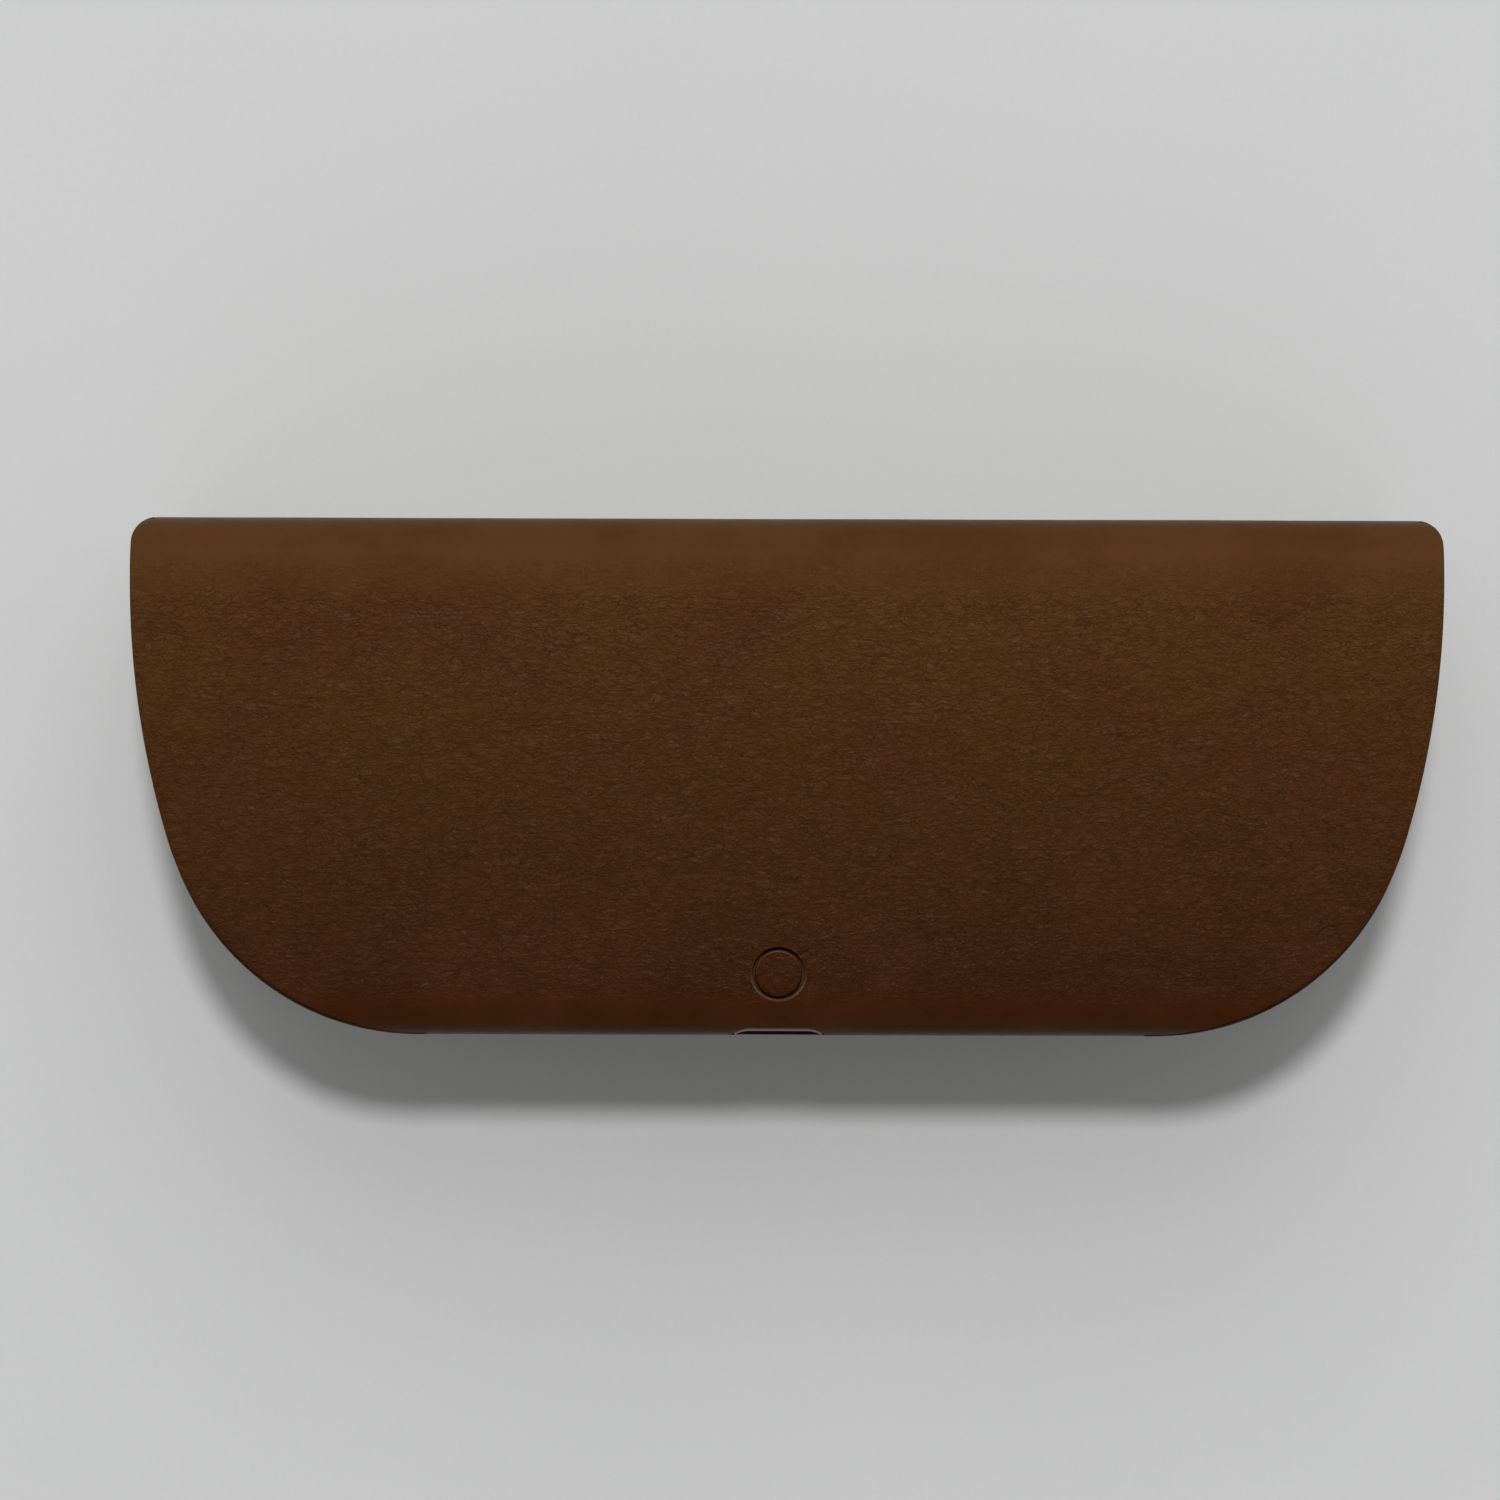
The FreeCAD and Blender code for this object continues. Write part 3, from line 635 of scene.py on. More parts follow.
liningLook = {
    "inset": 3.2 * mm,
    "thick": 0.8 * mm,
    "cornerRound": 4.5 * mm,
    "floorRound": 3.2 * mm,
}


def makeLining():
    # microfibre skin of the hollow, a tray with its floor towards the back of the case
    low, high = sizeOf("inner_lining")
    piece = drawOutline("trayLining", liningLook["inset"], low.z, liningLook["cornerRound"])
    editAll(piece)
    drawLine((0, 0, (high.z - low.z) / 8), 8)
    bpy.ops.mesh.edge_face_add()
    fixNormals(piece)
    outwards(piece, lambda c: Vector((c.x, c.y, 0.2)))
    selectFaces(piece, lambda face: face.normal.z > 0.9)
    bpy.ops.mesh.region_to_loop()
    bpy.ops.mesh.bevel(offset=liningLook["floorRound"], segments=6, affect="EDGES")
    applyModifier(piece, "SOLIDIFY", thickness=liningLook["thick"], offset=-1)
    return smooth(piece, 50)


# button
buttonLow, buttonHigh = sizeOf("button_leather")
buttonPlace = (buttonLow + buttonHigh) / 2
buttonLook = {
    "radius": (buttonHigh.x - buttonLow.x) / 2,
    "holeRadius": (buttonHigh.x - buttonLow.x) / 2 + 0.36 * mm,
    "edgeRound": 0.28 * mm,
    "step": 0.9 * mm,          # width of each ring of the dome
    "stepRises": (0.05 * mm, 0.03 * mm),
    "wellDepth": 1.55 * mm,
}


def makeButtonDisc():
    thick = buttonHigh.z - buttonLow.z
    piece = makeRound("buttonDisc", buttonLook["radius"], thick, buttonPlace, "Z", 64)
    selectFaces(piece, lambda face: face.normal.z > 0.9)
    bpy.ops.mesh.bevel(offset=buttonLook["edgeRound"], segments=4, affect="EDGES")
    selectFaces(piece, lambda face: face.normal.z > 0.99)
    for rise in buttonLook["stepRises"]:
        bpy.ops.mesh.inset(thickness=buttonLook["step"], depth=rise)
    return smooth(piece, 50)


def makeRing(name, around, section, place):
    # a closed band: section is its outline, place(angle, point) sets it along the way round
    deselectAll()
    bpy.ops.mesh.primitive_torus_add(major_segments=around, minor_segments=len(section),
                                     major_radius=1, minor_radius=0.2)
    piece = newPiece(name)
    for vertex in piece.data.vertices:
        turn, step = divmod(vertex.index, len(section))
        vertex.co = place(2 * math.pi * turn / around, section[step])
    fixNormals(piece)
    return piece


def makeButtonCuff():
    # leather well round the button: a wall down from the hole and a floor in to the disc
    outer, inner = buttonLook["holeRadius"], buttonLook["radius"] - 0.06 * mm
    depth = buttonLook["wellDepth"]
    surface = topFace + backCrownAt(buttonPlace.x, buttonPlace.y)
    section = [(outer + 0.05 * mm, -0.40 * mm), (outer - 0.02 * mm, -0.46 * mm),
               (outer - 0.03 * mm, -depth + 0.30 * mm), (outer - 0.14 * mm, -depth + 0.06 * mm),
               (inner, -depth), (inner, -depth - 0.2 * mm),
               (outer + 0.1 * mm, -depth - 0.2 * mm), (outer + 0.3 * mm, -depth + 0.3 * mm)]

    def place(angle, point):
        return (buttonPlace.x + point[0] * math.cos(angle),
                buttonPlace.y + point[0] * math.sin(angle), surface + point[1])

    piece = makeRing("buttonCuff", 96, section, place)
    return smooth(piece, 50)


# charging port
portLow, portHigh = sizeOf("port_bezel")
portPlace = (portLow + portHigh) / 2
socketLow, socketHigh = sizeOf("port_socket")
portPlace.z = (socketLow.z + socketHigh.z) / 2
portPlace.y = -halfHeight + 2 * mm
portLook = {
    "cutWidth": 11.72 * mm,
    "cutHeight": 4.62 * mm,
    "contactCount": 12,
    "contactPitch": 0.5 * mm,
    "contactSize": (0.26 * mm, 3.2 * mm, 0.08 * mm),
}


def rollSetback(z):
    # how far the port roll lies behind the port face at a height z
    roll = caseShape["portRoll"]
    rise = min(max(z - (topFace - roll), 0), roll * 0.98)
    return roll - math.sqrt(roll ** 2 - rise ** 2)


def makePortRing(name, section):
    # a pill-shaped ring round the socket, bent back where the leather rolls over
    half = (portHigh - portLow) / 2
    centre = (portLow + portHigh) / 2
    run = half.x - half.z

    def place(angle, point):
        inset, depth = point
        radius = half.z - inset
        side = 1 if math.cos(angle) > 0.02 else -1 if math.cos(angle) < -0.02 else 0
        x = centre.x + side * run + radius * math.cos(angle)
        z = centre.z + radius * math.sin(angle)
        share = 1 - depth / (portHigh.y - portLow.y)
        return (x, portLow.y + depth + rollSetback(z) * share, z)

    piece = makeRing(name, 96, [(inset * mm, depth * mm) for inset, depth in section], place)
    return smooth(piece, 40)


def makePortBezel():
    # thin moulded rim with a flange behind the leather
    return makePortRing("portBezel", [
        (0.0, 2.0), (0.0, 1.30), (0.38, 1.25), (0.38, 0.22), (0.42, 0.10), (0.49, 0.04),
        (0.58, 0.03), (0.62, 0.12), (0.645, 0.4), (0.645, 2.0)])


def makePortThroat():
    # dark funnel from the rim down to the socket shell; its near-black, barely shiny plastic is
    # painted shade in the port's recess
    return makePortRing("portThroat", [
        (0.59, 0.045), (0.66, 0.10), (0.72, 0.30), (0.755, 0.80), (0.76, 1.95), (0.69, 1.95),
        (0.655, 0.6)])


def makePortContacts():
    # gold strips on both faces of the tongue
    low, high = sizeOf("port_tongue")
    strips = []
    for face in (-1, 1):
        for number in range(portLook["contactCount"]):
            along = number - (portLook["contactCount"] - 1) / 2
            x = portPlace.x + along * portLook["contactPitch"]
            z = portPlace.z + face * (high.z - low.z) / 2
            strips.append(makeBox("strip", portLook["contactSize"], (x, low.y + 2 * mm, z)))
    piece = joinPieces(strips, "portContacts")
    applyModifier(piece, "BEVEL", width=0.03 * mm, segments=1)
    return piece


# saddle
saddleLook = {
    "foot": 16.0 * mm,         # half width where it stands on the port wall
    "top": 9.0 * mm,           # half width at the crest
    "round": 5.0 * mm,
    "pad": 0.8 * mm,
    "edgeRound": 0.28 * mm,
    "pinHole": 1.25 * mm,      # radius
}


def makeSaddlePad():
    # soft cap over the crest of the saddle, where the bridge of the glasses rests
    low, high = sizeOf("saddle_pad")
    saddleLow, saddleHigh = sizeOf("charging_saddle")
    crest = saddleHigh.y
    foot, top, turn = saddleLook["foot"], saddleLook["top"], saddleLook["round"]
    side = Vector((foot - top, crest - saddleLow.y, 0)).normalized()
    lean = math.atan2(side.x, side.y)
    bend = math.pi / 2 - lean
    setback = turn * math.tan(bend / 2)
    cornerStart = Vector((-top, crest, 0)) - side * setback
    run = (crest - low.y) / side.y - setback
    start = cornerStart - side * run
    z = low.z + 0.3 * mm
    piece = startWire("saddlePad", (start.x, start.y, z))
    drawLine(tuple(side * run / 4), 4)
    centre = cornerStart + Vector((side.y, -side.x, 0)) * turn
    drawArc((centre.x, centre.y, z), -bend, 10)
    drawLine((-2 * centre.x / 8, 0, 0), 8)
    drawArc((-centre.x, centre.y, z), -bend, 10)
    drawLine((side.x * run / 4, -side.y * run / 4, 0), 4)
    selectAll()
    drawLine((0, 0, (high.z - z - 0.1 * mm) / 14), 14)
    fixNormals(piece)
    outwards(piece, lambda c: Vector((c.x, c.y - low.y, 0)))
    for vertex in piece.data.vertices:
        along = (vertex.co.z - z) / (high.z - z)
        dish = 0.12 * mm * math.cos(along * math.pi * 2)
        vertex.co.y -= dish
    applyModifier(piece, "SOLIDIFY", thickness=saddleLook["pad"] - 0.1 * mm, offset=1)
    pins = [makeRound("pinCutter", saddleLook["pinHole"], 8 * mm, Vector((x, crest, pinZ)), "Y", 24)
            for x in pinX]
    cutAway(piece, pins)
    roundEdges(piece, saddleLook["edgeRound"], 3, 50)
    return smooth(piece, 50)


pinBoxes = [sizeOf("charge_pin_%d" % number) for number in (1, 2, 3)]
pinX = [(low.x + high.x) / 2 for low, high in pinBoxes]
pinZ = (pinBoxes[0][0].z + pinBoxes[0][1].z) / 2
springLook = {
    "wire": 0.11 * mm,         # radius
    "turns": 6,
    "steps": 14,               # in each turn
}


def makePinSpring(number):
    # fine coil behind one charging pin
    low, high = sizeOf("pin_spring_%d" % number)
    wire, turns, steps = springLook["wire"], springLook["turns"], springLook["steps"]
    radius = (high.x - low.x) / 2 - wire
    rise = (high.y - low.y - 2 * wire) / (turns * steps)
    x, z = (low.x + high.x) / 2, (low.z + high.z) / 2
    deselectAll()
    bpy.ops.mesh.primitive_circle_add(vertices=8, radius=wire,
                                      location=(x + radius, low.y + wire, z))
    piece = settle(newPiece("pinSpring%d" % number))
    editAll(piece)
    bpy.ops.mesh.edge_face_add()
    for _ in range(turns * steps):
        bpy.ops.mesh.spin(steps=1, angle=2 * math.pi / steps, center=(x, 0, z), axis=(0, 1, 0))
        bpy.ops.transform.translate(value=(0, rise, 0))
    fixNormals(piece)
    return smooth(piece, 60)


bossLook = {
    "size": (16.4 * mm, 4.8 * mm, 6.3 * mm),
    "fromMagnetEnd": 6 * mm,
    "rise": 2.75 * mm,         # its middle, above the rim
    "edgeRound": 0.9 * mm,
}


def makeBossCovers():
    # lining over the magnet bosses beside the mouth
    covers = []
    magnetEnd = sizeOf("rim_magnets")[1].x
    wall = -halfHeight + liningLook["inset"]
    for side in (-1, 1):
        centre = (side * (magnetEnd - bossLook["fromMagnetEnd"]), wall + bossLook["size"][1] / 2,
                  rimZ + bossLook["rise"])
        cover = makeBox("bossCoverLeft" if side < 0 else "bossCoverRight", bossLook["size"], centre)
        applyModifier(cover, "BEVEL", width=bossLook["edgeRound"], segments=4)
        covers.append(smooth(cover, 60))
    return covers


def sums(operation, swapped=False):
    def apply(self, other):
        first, second = (other, self) if swapped else (self, other)
        return self.finish.node("ShaderNodeMath", {"operation": operation}, {
            0: first, 1: second})
    return apply


class Amount:
    # a number inside a shader: sums written on it add Math nodes
    def __init__(self, finish, socket):
        self.finish = finish
        self.socket = socket

    __add__ = __radd__ = sums("ADD")
    __sub__ = sums("SUBTRACT")
    __rsub__ = sums("SUBTRACT", swapped=True)
    __mul__ = __rmul__ = sums("MULTIPLY")
    __truediv__ = sums("DIVIDE")
    __pow__ = sums("POWER")


class Finish:
    # one procedural material, worked out in millimetres on the object's own coordinates
    def __init__(self, name):
        self.material = bpy.data.materials.new(name)
        self.material.use_nodes = True
        self.tree = self.material.node_tree
        self.tree.nodes.clear()
        coordinates = self.node("ShaderNodeTexCoord", {}, {}, "Object")
        self.place = self.stretch(coordinates, (1000, 1000, 1000))

    def node(self, kind, settings, inputs, output=0):
        made = self.tree.nodes.new(kind)
        for key, value in settings.items():
            if key == "stops":
                ramp = made.color_ramp
                while len(ramp.elements) < len(value):
                    ramp.elements.new(0.5)
                for element, (position, colour) in zip(ramp.elements, value):
                    element.position = position
                    element.color = (*colour, 1)
            else:
                setattr(made, key, value)
        for key, value in inputs.items():
            socket = made.inputs[key]
            if isinstance(value, Amount):
                self.tree.links.new(value.socket, socket)
            elif isinstance(value, tuple) and len(value) == 3 and socket.type == "RGBA":
                socket.default_value = (*value, 1)
            else:
                socket.default_value = value
        return Amount(self, made.outputs[output])

    def stretch(self, place, scale):
        if not isinstance(scale, tuple):
            scale = (scale, scale, scale)
        return self.node("ShaderNodeVectorMath", {"operation": "MULTIPLY"}, {0: place, 1: scale})

    def shift(self, by, place=None):
        return self.node("ShaderNodeVectorMath", {"operation": "ADD"}, {
            0: place or self.place, 1: by})

    def along(self, axis):
        return self.node("ShaderNodeSeparateXYZ", {}, {0: self.place}, axis)

    def noise(self, scale, detail=3, rough=0.5, place=None, output=0):
        # scale is features per millimetre, one number or one for each axis
        return self.node("ShaderNodeTexNoise", {}, {
            "Vector": self.stretch(place or self.place, scale),
            "Scale": 1.0, "Detail": detail, "Roughness": rough}, output)

    def cells(self, scale, feature="F1", place=None):
        return self.node("ShaderNodeTexVoronoi", {"feature": feature}, {
            "Vector": self.stretch(place or self.place, scale), "Scale": 1.0}, "Distance")

    def ease(self, value, low, high, start=0.0, end=1.0):
        # smooth step from start to end as value goes from low to high
        return self.node("ShaderNodeMapRange", {"interpolation_type": "SMOOTHSTEP"}, {
            "Value": value, "From Min": low, "From Max": high, "To Min": start, "To Max": end})

    def mix(self, share, first, second, way="MIX"):
        return self.node("ShaderNodeMix", {"data_type": "RGBA", "blend_type": way}, {
            0: share, 6: first, 7: second}, 2)

    def close(self, colour, roughness, height, **sockets):
        # height of the relief is in millimetres
        inputs = {key.replace("_", " "): value for key, value in sockets.items()}
        normal = self.node("ShaderNodeBump", {}, {
            "Strength": 1.0, "Distance": mm, "Height": height})
        inputs.update({"Base Color": colour, "Roughness": roughness, "Normal": normal})
        shader = self.node("ShaderNodeBsdfPrincipled", {}, inputs)
        output = self.tree.nodes.new("ShaderNodeOutputMaterial")
        self.tree.links.new(shader.socket, output.inputs["Surface"])
        return self.material


leatherFinish = {
    "low": (0.0385, 0.0096, 0.0012),     # painted shade: darker towards the port edge
    "middle": (0.0575, 0.0204, 0.0032),
    "high": (0.0770, 0.0305, 0.0075),    # painted light: lighter towards the spine
    "redder": (0.0575, 0.0176, 0.0042),
    # painted shade: colour for the grain's creases
    "paintedPitShade": (0.0200, 0.0064, 0.0014),
    # painted highlight: lighter colour on thin grain ridges
    "paintedRidgeHighlight": (0.1200, 0.0620, 0.0280),
    # painted highlight: colour for the lit half of the rims round the button
    "edge": (0.1250, 0.0620, 0.0300),
    "paintedPitShadeShare": 0.42,
    "paintedRidgeHighlightShare": 0.32,
    "paintedRimHighlightShare": 0.30,
    "edgeCoat": 0.35,
    "roughness": 0.37,
    "specular": 0.045,
    "creaseDeep": 0.075,       # millimetres
    "pebbleDeep": 0.035,
    "wave": 0.25,
    "smoothSpine": (25.8, 27.6),
    "smoothPort": (-25.8, -28.6),
}


def leatherGrain(finish, fade, band):
    # height of the grain in millimetres: thin broken creases along X over a soft ground
    bend = finish.noise(0.35, 3, 0.6, output="Color")
    warp = finish.node("ShaderNodeVectorMath", {"operation": "MULTIPLY_ADD"}, {
        0: bend, 1: (3.0, 1.9, 1.9), 2: finish.place})
    patchy = finish.ease(finish.noise((0.22, 0.34, 0.34), 3, 0.6,
                                      finish.shift((31, 5, 9))), 0.36, 0.60)
    long = finish.cells((0.46, 1.35, 1.35), "DISTANCE_TO_EDGE", warp)
    fine = finish.cells((1.05, 2.6, 2.6), "DISTANCE_TO_EDGE", finish.shift((7.3, 2.1, 4.7), warp))
    folds = finish.noise((0.50, 1.75, 1.75), 3, 0.55, finish.shift((3, 41, 6), warp))
    centred = finish.node("ShaderNodeMath", {"operation": "ABSOLUTE"}, {0: folds - 0.5})
    scratches = finish.ease(centred, 0.0, 0.035)
    creases = finish.ease(long, 0.0, 0.10) * (patchy * 0.7 + 0.2)
    creases = creases + scratches * (1 - patchy * 0.6) * 0.9
    pebbles = finish.ease(fine, 0.0, 0.15)
    soft = finish.noise((0.62, 1.9, 1.9), 3, 0.6, warp) * 0.12
    wave = finish.noise((0.13, 0.24, 0.24), 2, 0.5) * leatherFinish["wave"]
    micro = finish.noise(6.5, 2, 0.6) * 0.012
    upright = finish.noise((2.4, 0.85, 0.85), 3, 0.6) * 0.24
    height = creases * leatherFinish["creaseDeep"] + pebbles * leatherFinish["pebbleDeep"] + soft
    height = height * fade * (1 - 0.6 * band) + upright * band * fade
    return height + wave * (fade * 0.6 + 0.4) + micro * (fade * 0.6 + 0.4), creases


def brownLeather(name, rolls=True, rim=None):
    finish = Finish(name)
    x, y, z = finish.along("X"), finish.along("Y"), finish.along("Z")
    # painted light and shade: the colour runs from darker at the port edge to lighter at the spine
    ground = finish.node("ShaderNodeValToRGB", {"stops": [
        (0.08, leatherFinish["low"]), (0.50, leatherFinish["middle"]),
        (0.92, leatherFinish["high"])]}, {"Fac": y / 64 + 0.5})
    if rolls:
        # stretched smooth over the spine edge and the port edge
        spine = finish.ease(y, *leatherFinish["smoothSpine"]) * finish.ease(z, 42.0, 46.0)
        port = finish.ease(y, *leatherFinish["smoothPort"]) * finish.ease(z, 43.5, 46.5)
        band = finish.ease(y, 21.0, 24.8) * finish.ease(z, 42.0, 46.0)
        fade = 1 - 0.97 * spine - 0.85 * port
    else:
        band, fade = 0.0, 1.0
    height, creases = leatherGrain(finish, fade, band)
    patches = finish.ease(finish.noise(0.055, 3, 0.55, finish.shift((3, 11, 2))), 0.42, 0.66)
    colour = finish.mix(patches * 0.5, ground, leatherFinish["redder"])
    # painted shade: the grain's creases are coloured darker
    paintedPitShade = (1 - finish.ease(creases, 0.0, 0.55)) * fade * (1 - 0.7 * band)
    colour = finish.mix(paintedPitShade * leatherFinish["paintedPitShadeShare"], colour, leatherFinish["paintedPitShade"])
    # painted highlight: thin grain ridges are coloured lighter
    paintedRidgeMask = finish.ease(finish.noise((0.55, 3.4, 3.4), 4, 0.65), 0.57, 0.74) * fade
    colour = finish.mix(paintedRidgeMask * leatherFinish["paintedRidgeHighlightShare"], colour, leatherFinish["paintedRidgeHighlight"])
    bright = finish.noise(0.8, 4, 0.65) * 0.30 + 0.85
    colour = finish.mix(1.0, colour, bright, "MULTIPLY")
    dull = finish.noise(0.5, 3, 0.6, finish.shift((0, 17, 3)))
    roughness = leatherFinish["roughness"] + dull * 0.16 - 0.08
    coat = 0.0
    if rim:
        # painted highlight: lighter colour on the lit half of the button's rim and of the hole's
        # rim, with a glossier coat there
        across, up = x - buttonPlace.x / mm, y - buttonPlace.y / mm
        reach = (across * across + up * up) ** 0.5
        edge = finish.ease(reach, rim[0], rim[1]) * finish.ease(reach, rim[3], rim[2])
        edge = edge * finish.ease(z, 48.0, 50.0) * finish.ease(up * rim[4], -1.0, 2.2)
        colour = finish.mix(edge * leatherFinish["paintedRimHighlightShare"], colour, leatherFinish["edge"])
        coat = edge * leatherFinish["edgeCoat"]
    return finish.close(colour, roughness, height, Coat_Weight=coat, Coat_Roughness=0.28,
                        Specular_IOR_Level=leatherFinish["specular"])


def scaled(colour, share):
    return tuple(part * share for part in colour)


def mouldedPlastic(name, colour, roughness=0.42, shine=0.5):
    # fine spark-eroded texture with a few long rub marks
    finish = Finish(name)
    texture = finish.noise(3.0, 4, 0.6)
    rubs = finish.ease(finish.noise((0.25, 3.0, 0.9), 3, 0.6), 0.60, 0.74)
    shade = finish.mix(finish.noise(0.12, 3) * 0.3, colour, scaled(colour, 0.7))
    shade = finish.mix(rubs * 0.18, shade, tuple(min(1, part * 1.6 + 0.01) for part in colour))
    return finish.close(shade, roughness + texture * 0.14 - rubs * 0.10, texture * 0.010,
                        Specular_IOR_Level=shine)


def brushedMetal(name, colour, roughness=0.30, direction=(0.6, 9.0, 9.0)):
    finish = Finish(name)
    lines = finish.noise(direction, 4, 0.65)
    stain = finish.ease(finish.noise(0.35, 3), 0.45, 0.70)
    shade = finish.mix(stain * 0.35, colour, scaled(colour, 0.72))
    return finish.close(shade, roughness + lines * 0.16 + stain * 0.08, lines * 0.006,
                        Metallic=1.0)


def microfibreCloth(name, colour):
    # brushed nap: soft directional mottling and a fine pile
    finish = Finish(name)
    nap = finish.noise((0.10, 0.16, 0.10), 4, 0.6)
    pile = finish.noise(5.0, 3, 0.7)
    tufts = finish.cells(2.4)
    shade = finish.mix(finish.ease(nap, 0.35, 0.65), scaled(colour, 0.72), colour)
    shade = finish.mix(finish.ease(pile, 0.3, 0.7) * 0.35, shade, scaled(colour, 1.5))
    return finish.close(shade, 0.92, pile * 0.045 + tufts * 0.04, Sheen_Weight=0.12,
                        Sheen_Roughness=0.4, Sheen_Tint=(0.55, 0.42, 0.32),
                        Specular_IOR_Level=0.08)


def greyBoard(name):
    finish = Finish(name)
    fibres = finish.noise((0.5, 1.6, 3.0), 5, 0.7)
    flecks = finish.ease(finish.cells(0.7), 0.10, 0.22)
    shade = finish.mix(fibres, (0.16, 0.145, 0.12), (0.34, 0.31, 0.27))
    shade = finish.mix((1 - flecks) * 0.5, shade, (0.08, 0.07, 0.06))
    return finish.close(shade, 0.85 + fibres * 0.1, fibres * 0.05)


def siliconePad(name):
    finish = Finish(name)
    skin = finish.noise(2.2, 4, 0.6)
    dimples = finish.ease(finish.cells(1.1), 0.0, 0.5)
    shade = finish.mix(skin, (0.020, 0.019, 0.018), (0.040, 0.038, 0.036))
    return finish.close(shade, 0.62 + skin * 0.16, skin * 0.02 + dimples * 0.03)


def circuitBoard(name):
    # green solder mask over copper tracks, with a few pads
    finish = Finish(name)
    tracks = finish.node("ShaderNodeTexBrick", {"offset": 0.5, "squash": 1.0}, {
        "Vector": finish.place, "Scale": 1.0, "Mortar Size": 0.10, "Brick Width": 2.6,
        "Row Height": 0.8}, "Fac")
    pads = 1 - finish.ease(finish.cells(0.28), 0.14, 0.17)
    shade = finish.mix(tracks, (0.008, 0.085, 0.030), (0.020, 0.150, 0.055))
    shade = finish.mix(pads, shade, (0.62, 0.45, 0.18))
    return finish.close(shade, 0.36 - pads * 0.08, tracks * 0.03 + pads * 0.02,
                        Metallic=pads * 0.9, Coat_Weight=0.3)


def batteryFoil(name):
    finish = Finish(name)
    crumple = finish.noise((0.25, 0.35, 0.6), 4, 0.62)
    fine = finish.noise(1.8, 3, 0.6)
    shade = finish.mix(crumple, (0.42, 0.43, 0.45), (0.68, 0.69, 0.71))
    return finish.close(shade, 0.34 + fine * 0.14, crumple * 0.35 + fine * 0.03, Metallic=0.85)


def foamTape(name):
    finish = Finish(name)
    bubbles = finish.cells(2.6)
    shade = finish.mix(finish.ease(bubbles, 0.0, 0.5), (0.010, 0.010, 0.011),
                       (0.034, 0.034, 0.036))
    return finish.close(shade, 0.9, bubbles * 0.08)


def flexFilm(name):
    # amber film with copper lines under it
    finish = Finish(name)
    lines = finish.node("ShaderNodeMath", {"operation": "PINGPONG"}, {
        0: finish.along("X"), 1: 0.5})
    copper = finish.ease(lines, 0.20, 0.28)
    cloud = finish.noise(0.6, 3)
    shade = finish.mix(copper, (0.36, 0.14, 0.018), (0.50, 0.22, 0.040))
    shade = finish.mix(cloud * 0.3, shade, (0.22, 0.08, 0.012))
    return finish.close(shade, 0.30 + cloud * 0.1, copper * 0.03, Coat_Weight=0.5)


def lightChip(name):
    finish = Finish(name)
    body = finish.noise(3.0, 3)
    middle = finish.ease(finish.cells(1.4), 0.1, 0.4)
    shade = finish.mix(middle, (0.75, 0.62, 0.20), (0.72, 0.72, 0.70))
    return finish.close(shade, 0.4 + body * 0.2, body * 0.01)


def clearLens(name):
    finish = Finish(name)
    frost = finish.noise(4.0, 3, 0.6)
    shade = finish.mix(frost, (0.78, 0.80, 0.80), (0.92, 0.93, 0.92))
    return finish.close(shade, 0.22 + frost * 0.25, frost * 0.01, Transmission_Weight=0.75,
                        IOR=1.49)


def goldPlate(name):
    finish = Finish(name)
    turning = finish.noise((7.0, 0.8, 7.0), 3, 0.6)
    wear = finish.ease(finish.noise(1.6, 3), 0.55, 0.75)
    shade = finish.mix(wear * 0.4, (0.90, 0.62, 0.24), (0.72, 0.58, 0.40))
    return finish.close(shade, 0.20 + turning * 0.14 + wear * 0.12, turning * 0.004,
                        Metallic=1.0)


def bezelPlastic(name):
    # satin greige moulding, shinier on the outer lip where a plug rubs it; the lip's lighter colour
    # is painted light and the darker plastic deeper in is painted shade
    finish = Finish(name)
    texture = finish.noise(4.0, 3, 0.6)
    # painted light on the outer lip, painted shade deeper in the port
    paintedLipLight = 1 - finish.ease(finish.along("Y"), -31.9, -31.0)
    shade = finish.mix(texture * 0.5, (0.130, 0.098, 0.076), (0.090, 0.068, 0.052))
    shade = finish.mix(paintedLipLight * 0.6, shade, (0.20, 0.146, 0.106))
    return finish.close(shade, 0.44 + texture * 0.14 - paintedLipLight * 0.08, texture * 0.010)


finishes = {
    "brown_leather": brownLeather("brownLeather", rolls=False),
    "stiff_board": greyBoard("greyBoard"),
    "dark_plastic": mouldedPlastic("darkPlastic", (0.022, 0.021, 0.020)),
    "microfibre": microfibreCloth("microfibreCloth", (0.085, 0.062, 0.045)),
    "soft_pad": siliconePad("softPad"),
    "nickel": brushedMetal("nickel", (0.62, 0.60, 0.56)),
    "screw_steel": brushedMetal("screwSteel", (0.36, 0.36, 0.37), 0.34, (5.0, 5.0, 0.8)),
    "bezel_plastic": bezelPlastic("bezelPlastic"),
    "circuit_board": circuitBoard("circuitBoard"),
    "battery_foil": batteryFoil("batteryFoil"),
    "foam_tape": foamTape("foamTape"),
    "flex_film": flexFilm("flexFilm"),
    "light_chip": lightChip("lightChip"),
    "clear_lens": clearLens("clearLens"),
    "gold_contact": goldPlate("goldContact"),
}
# painted shade: the port's funnel gets near-black plastic
throatPlasticPaintedShade = mouldedPlastic("throatPlasticPaintedShade", (0.010, 0.006, 0.004), 0.6, shine=0.08)
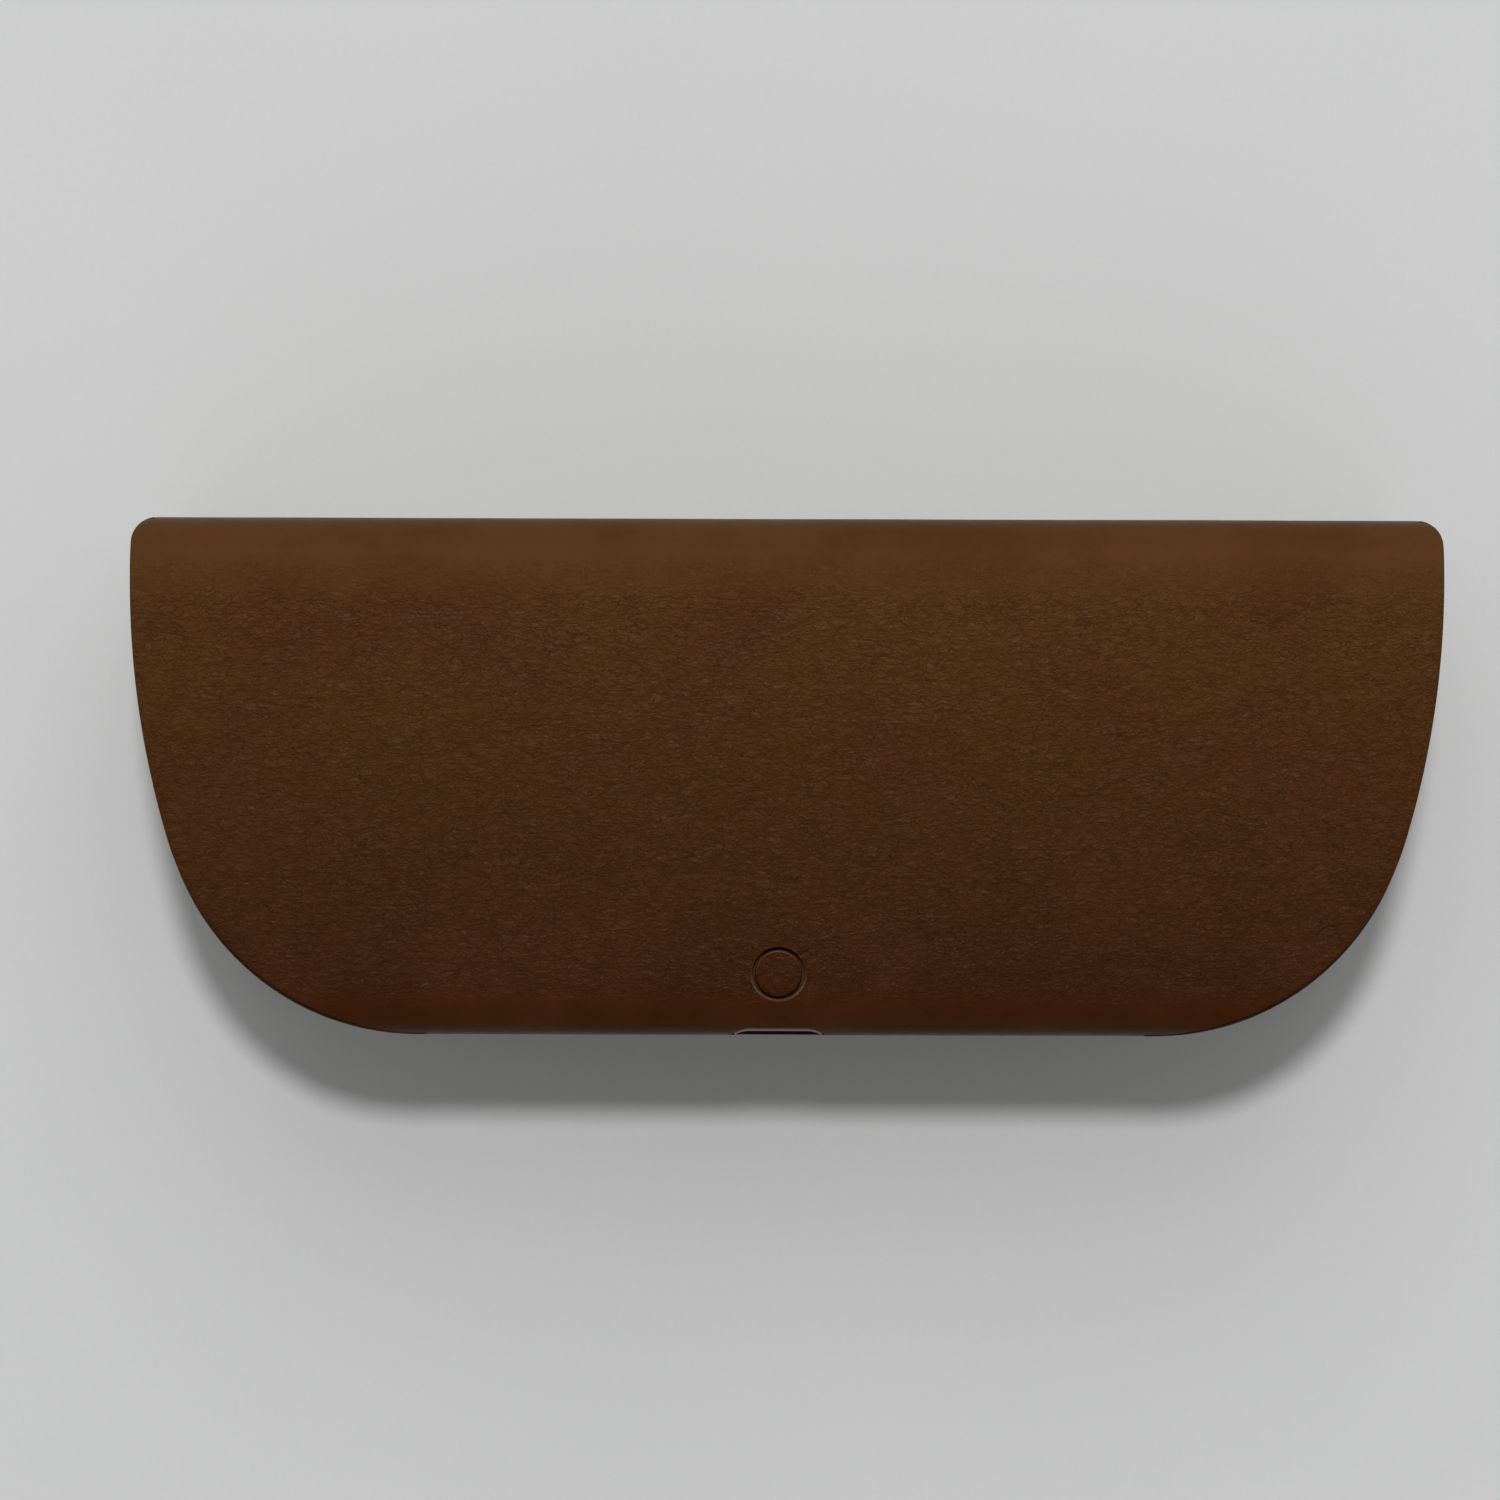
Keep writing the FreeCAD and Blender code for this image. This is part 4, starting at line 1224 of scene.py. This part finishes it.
# raw leather edge in the button's well, partly painted light: coloured lighter so the shaded groove
# reads brown
rawEdgeAndPaintedLight = microfibreCloth("rawLeatherEdgeAndPaintedLight", (0.075, 0.031, 0.011))
backLeather = brownLeather("backLeather", rim=(3.24, 3.32, 3.44, 3.54, -1))
buttonLeather = brownLeather("buttonLeather", rim=(2.60, 2.70, 2.82, 2.92, 1))

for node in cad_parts.values():
    for place, material in enumerate(node.data.materials):
        node.data.materials[place] = finishes[material.name.split(".")[0]]
print("finishes ready")


def addPiece(piece, slotName, replaced=(), material=None, body="case_body"):
    piece.data.materials.clear()
    piece.data.materials.append(material or finishes[slotName])
    if body:
        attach(piece, body)
    if replaced:
        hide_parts(*replaced)
    return piece


backSheet = addPiece(makeBackSheet(), "brown_leather", ["back_leather"], backLeather)
print("back leather ready")
gussetLeft = addPiece(makeGusset("gussetLeft", -1), "brown_leather", ["left_gusset"])
gussetRight = addPiece(makeGusset("gussetRight", 1), "brown_leather", ["right_gusset"])
hingeFold = addPiece(makeHingeFold(), "brown_leather", ["hinge_leather"], body=None)
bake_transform(hingeFold)
sheetLong, sheetArea = backSheetCut()
for gusset in (gussetLeft, gussetRight):
    gussetCut()
foldCut()
print("end leather and hinge ready")
flapSkin = addPiece(makeFlapSkin(), "brown_leather", ["flap_leather"], body="front_flap")
flapCushion = addPiece(makeFlapCushion(), "microfibre", ["flap_lining"], body="front_flap")
addPiece(makeMouthTrim(), "brown_leather", ["mouth_trim"])
trayLining = addPiece(makeLining(), "microfibre", ["inner_lining"])
for cover in makeBossCovers():
    addPiece(cover, "microfibre")
print("flap and lining ready")
saddlePad = addPiece(makeSaddlePad(), "soft_pad", ["saddle_pad"])
for number in (1, 2, 3):
    spring = addPiece(makePinSpring(number), "screw_steel", ["pin_spring_%d" % number])
    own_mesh(spring)
addPiece(makeButtonDisc(), "brown_leather", ["button_leather"], buttonLeather, "pairing_button")
addPiece(makeButtonCuff(), "brown_leather", material=rawEdgeAndPaintedLight)
addPiece(makePortBezel(), "bezel_plastic", ["port_bezel"])
addPiece(makePortThroat(), "dark_plastic", material=throatPlasticPaintedShade)
addPiece(makePortContacts(), "gold_contact")
print("small parts ready")


# floor, light and camera
studio = {
    "floor": 4.0,
    "keyHeight": 1.75,
    "keyTurn": 13,             # degrees from straight above, towards the spine
    "keySize": 0.14,
    "keyPower": 16.0,
    "windowPower": 10.0,
    "windowSize": 1.4,
    "windowTurn": 38,          # degrees from straight above
    "windowHeight": 2.0 * math.cos(math.radians(38)),
    "skyTop": 0.17,
    "skySide": 0.80,
    "cameraHeight": 0.90,
    "viewWidth": 184.8 * mm,
    "viewX": -4.5 * mm,
    "viewY": 3.3 * mm,
    "roll": 0.18,
}


def floorFinish():
    finish = Finish("paleFloor")
    cloud = finish.noise(0.012, 3)
    fine = finish.noise(1.4, 3, 0.6)
    shade = finish.mix(cloud, (0.565, 0.575, 0.570), (0.605, 0.612, 0.605))
    shade = finish.mix(finish.ease(fine, 0.3, 0.7) * 0.15, shade, (0.52, 0.53, 0.53))
    return finish.close(shade, 0.7, fine * 0.02, Specular_IOR_Level=0.2)


def addLight(name, shape, place):
    # place is the name of its settings; it stands towards the spine and faces the object
    lean = math.radians(studio[place + "Turn"])
    height = studio[place + "Height"]
    deselectAll()
    bpy.ops.object.light_add(type="AREA", rotation=(-lean, 0, 0),
                             location=(0, height * math.tan(lean), height))
    light = bpy.context.object
    light.name = name
    light.data.shape = shape
    light.data.size = studio[place + "Size"]
    light.data.energy = studio[place + "Power"]


deselectAll()
bpy.ops.mesh.primitive_plane_add(size=2 * studio["floor"], location=(0, 0, 0))
floor = settle(newPiece("paleFloor"))
floor.data.materials.append(floorFinish())

addLight("keyLight", "DISK", "key")
addLight("windowLight", "SQUARE", "window")

sky = bpy.data.worlds.new("softSky")
bpy.context.scene.world = sky
sky.use_nodes = True
skyNodes, skyLinks = sky.node_tree.nodes, sky.node_tree.links
direction = skyNodes.new("ShaderNodeTexCoord")
parts = skyNodes.new("ShaderNodeSeparateXYZ")
ramp = skyNodes.new("ShaderNodeValToRGB")
for element, part in zip(ramp.color_ramp.elements, ("skySide", "skyTop")):
    element.color = (studio[part], studio[part], studio[part], 1)
skyLinks.new(direction.outputs["Generated"], parts.inputs[0])
skyLinks.new(parts.outputs["Z"], ramp.inputs[0])
skyLinks.new(ramp.outputs[0], skyNodes["Background"].inputs["Color"])

bpy.ops.object.camera_add(
    location=(studio["viewX"], studio["viewY"], topFace + studio["cameraHeight"]),
    rotation=(0, 0, math.radians(studio["roll"])))
camera = bpy.context.object
camera.name = "camera"
camera.data.sensor_width = 36
camera.data.lens = 36 * studio["cameraHeight"] / studio["viewWidth"]
camera.data.clip_end = 50
bpy.context.scene.camera = camera
bpy.context.scene.view_settings.view_transform = "Standard"

print("scene ready")
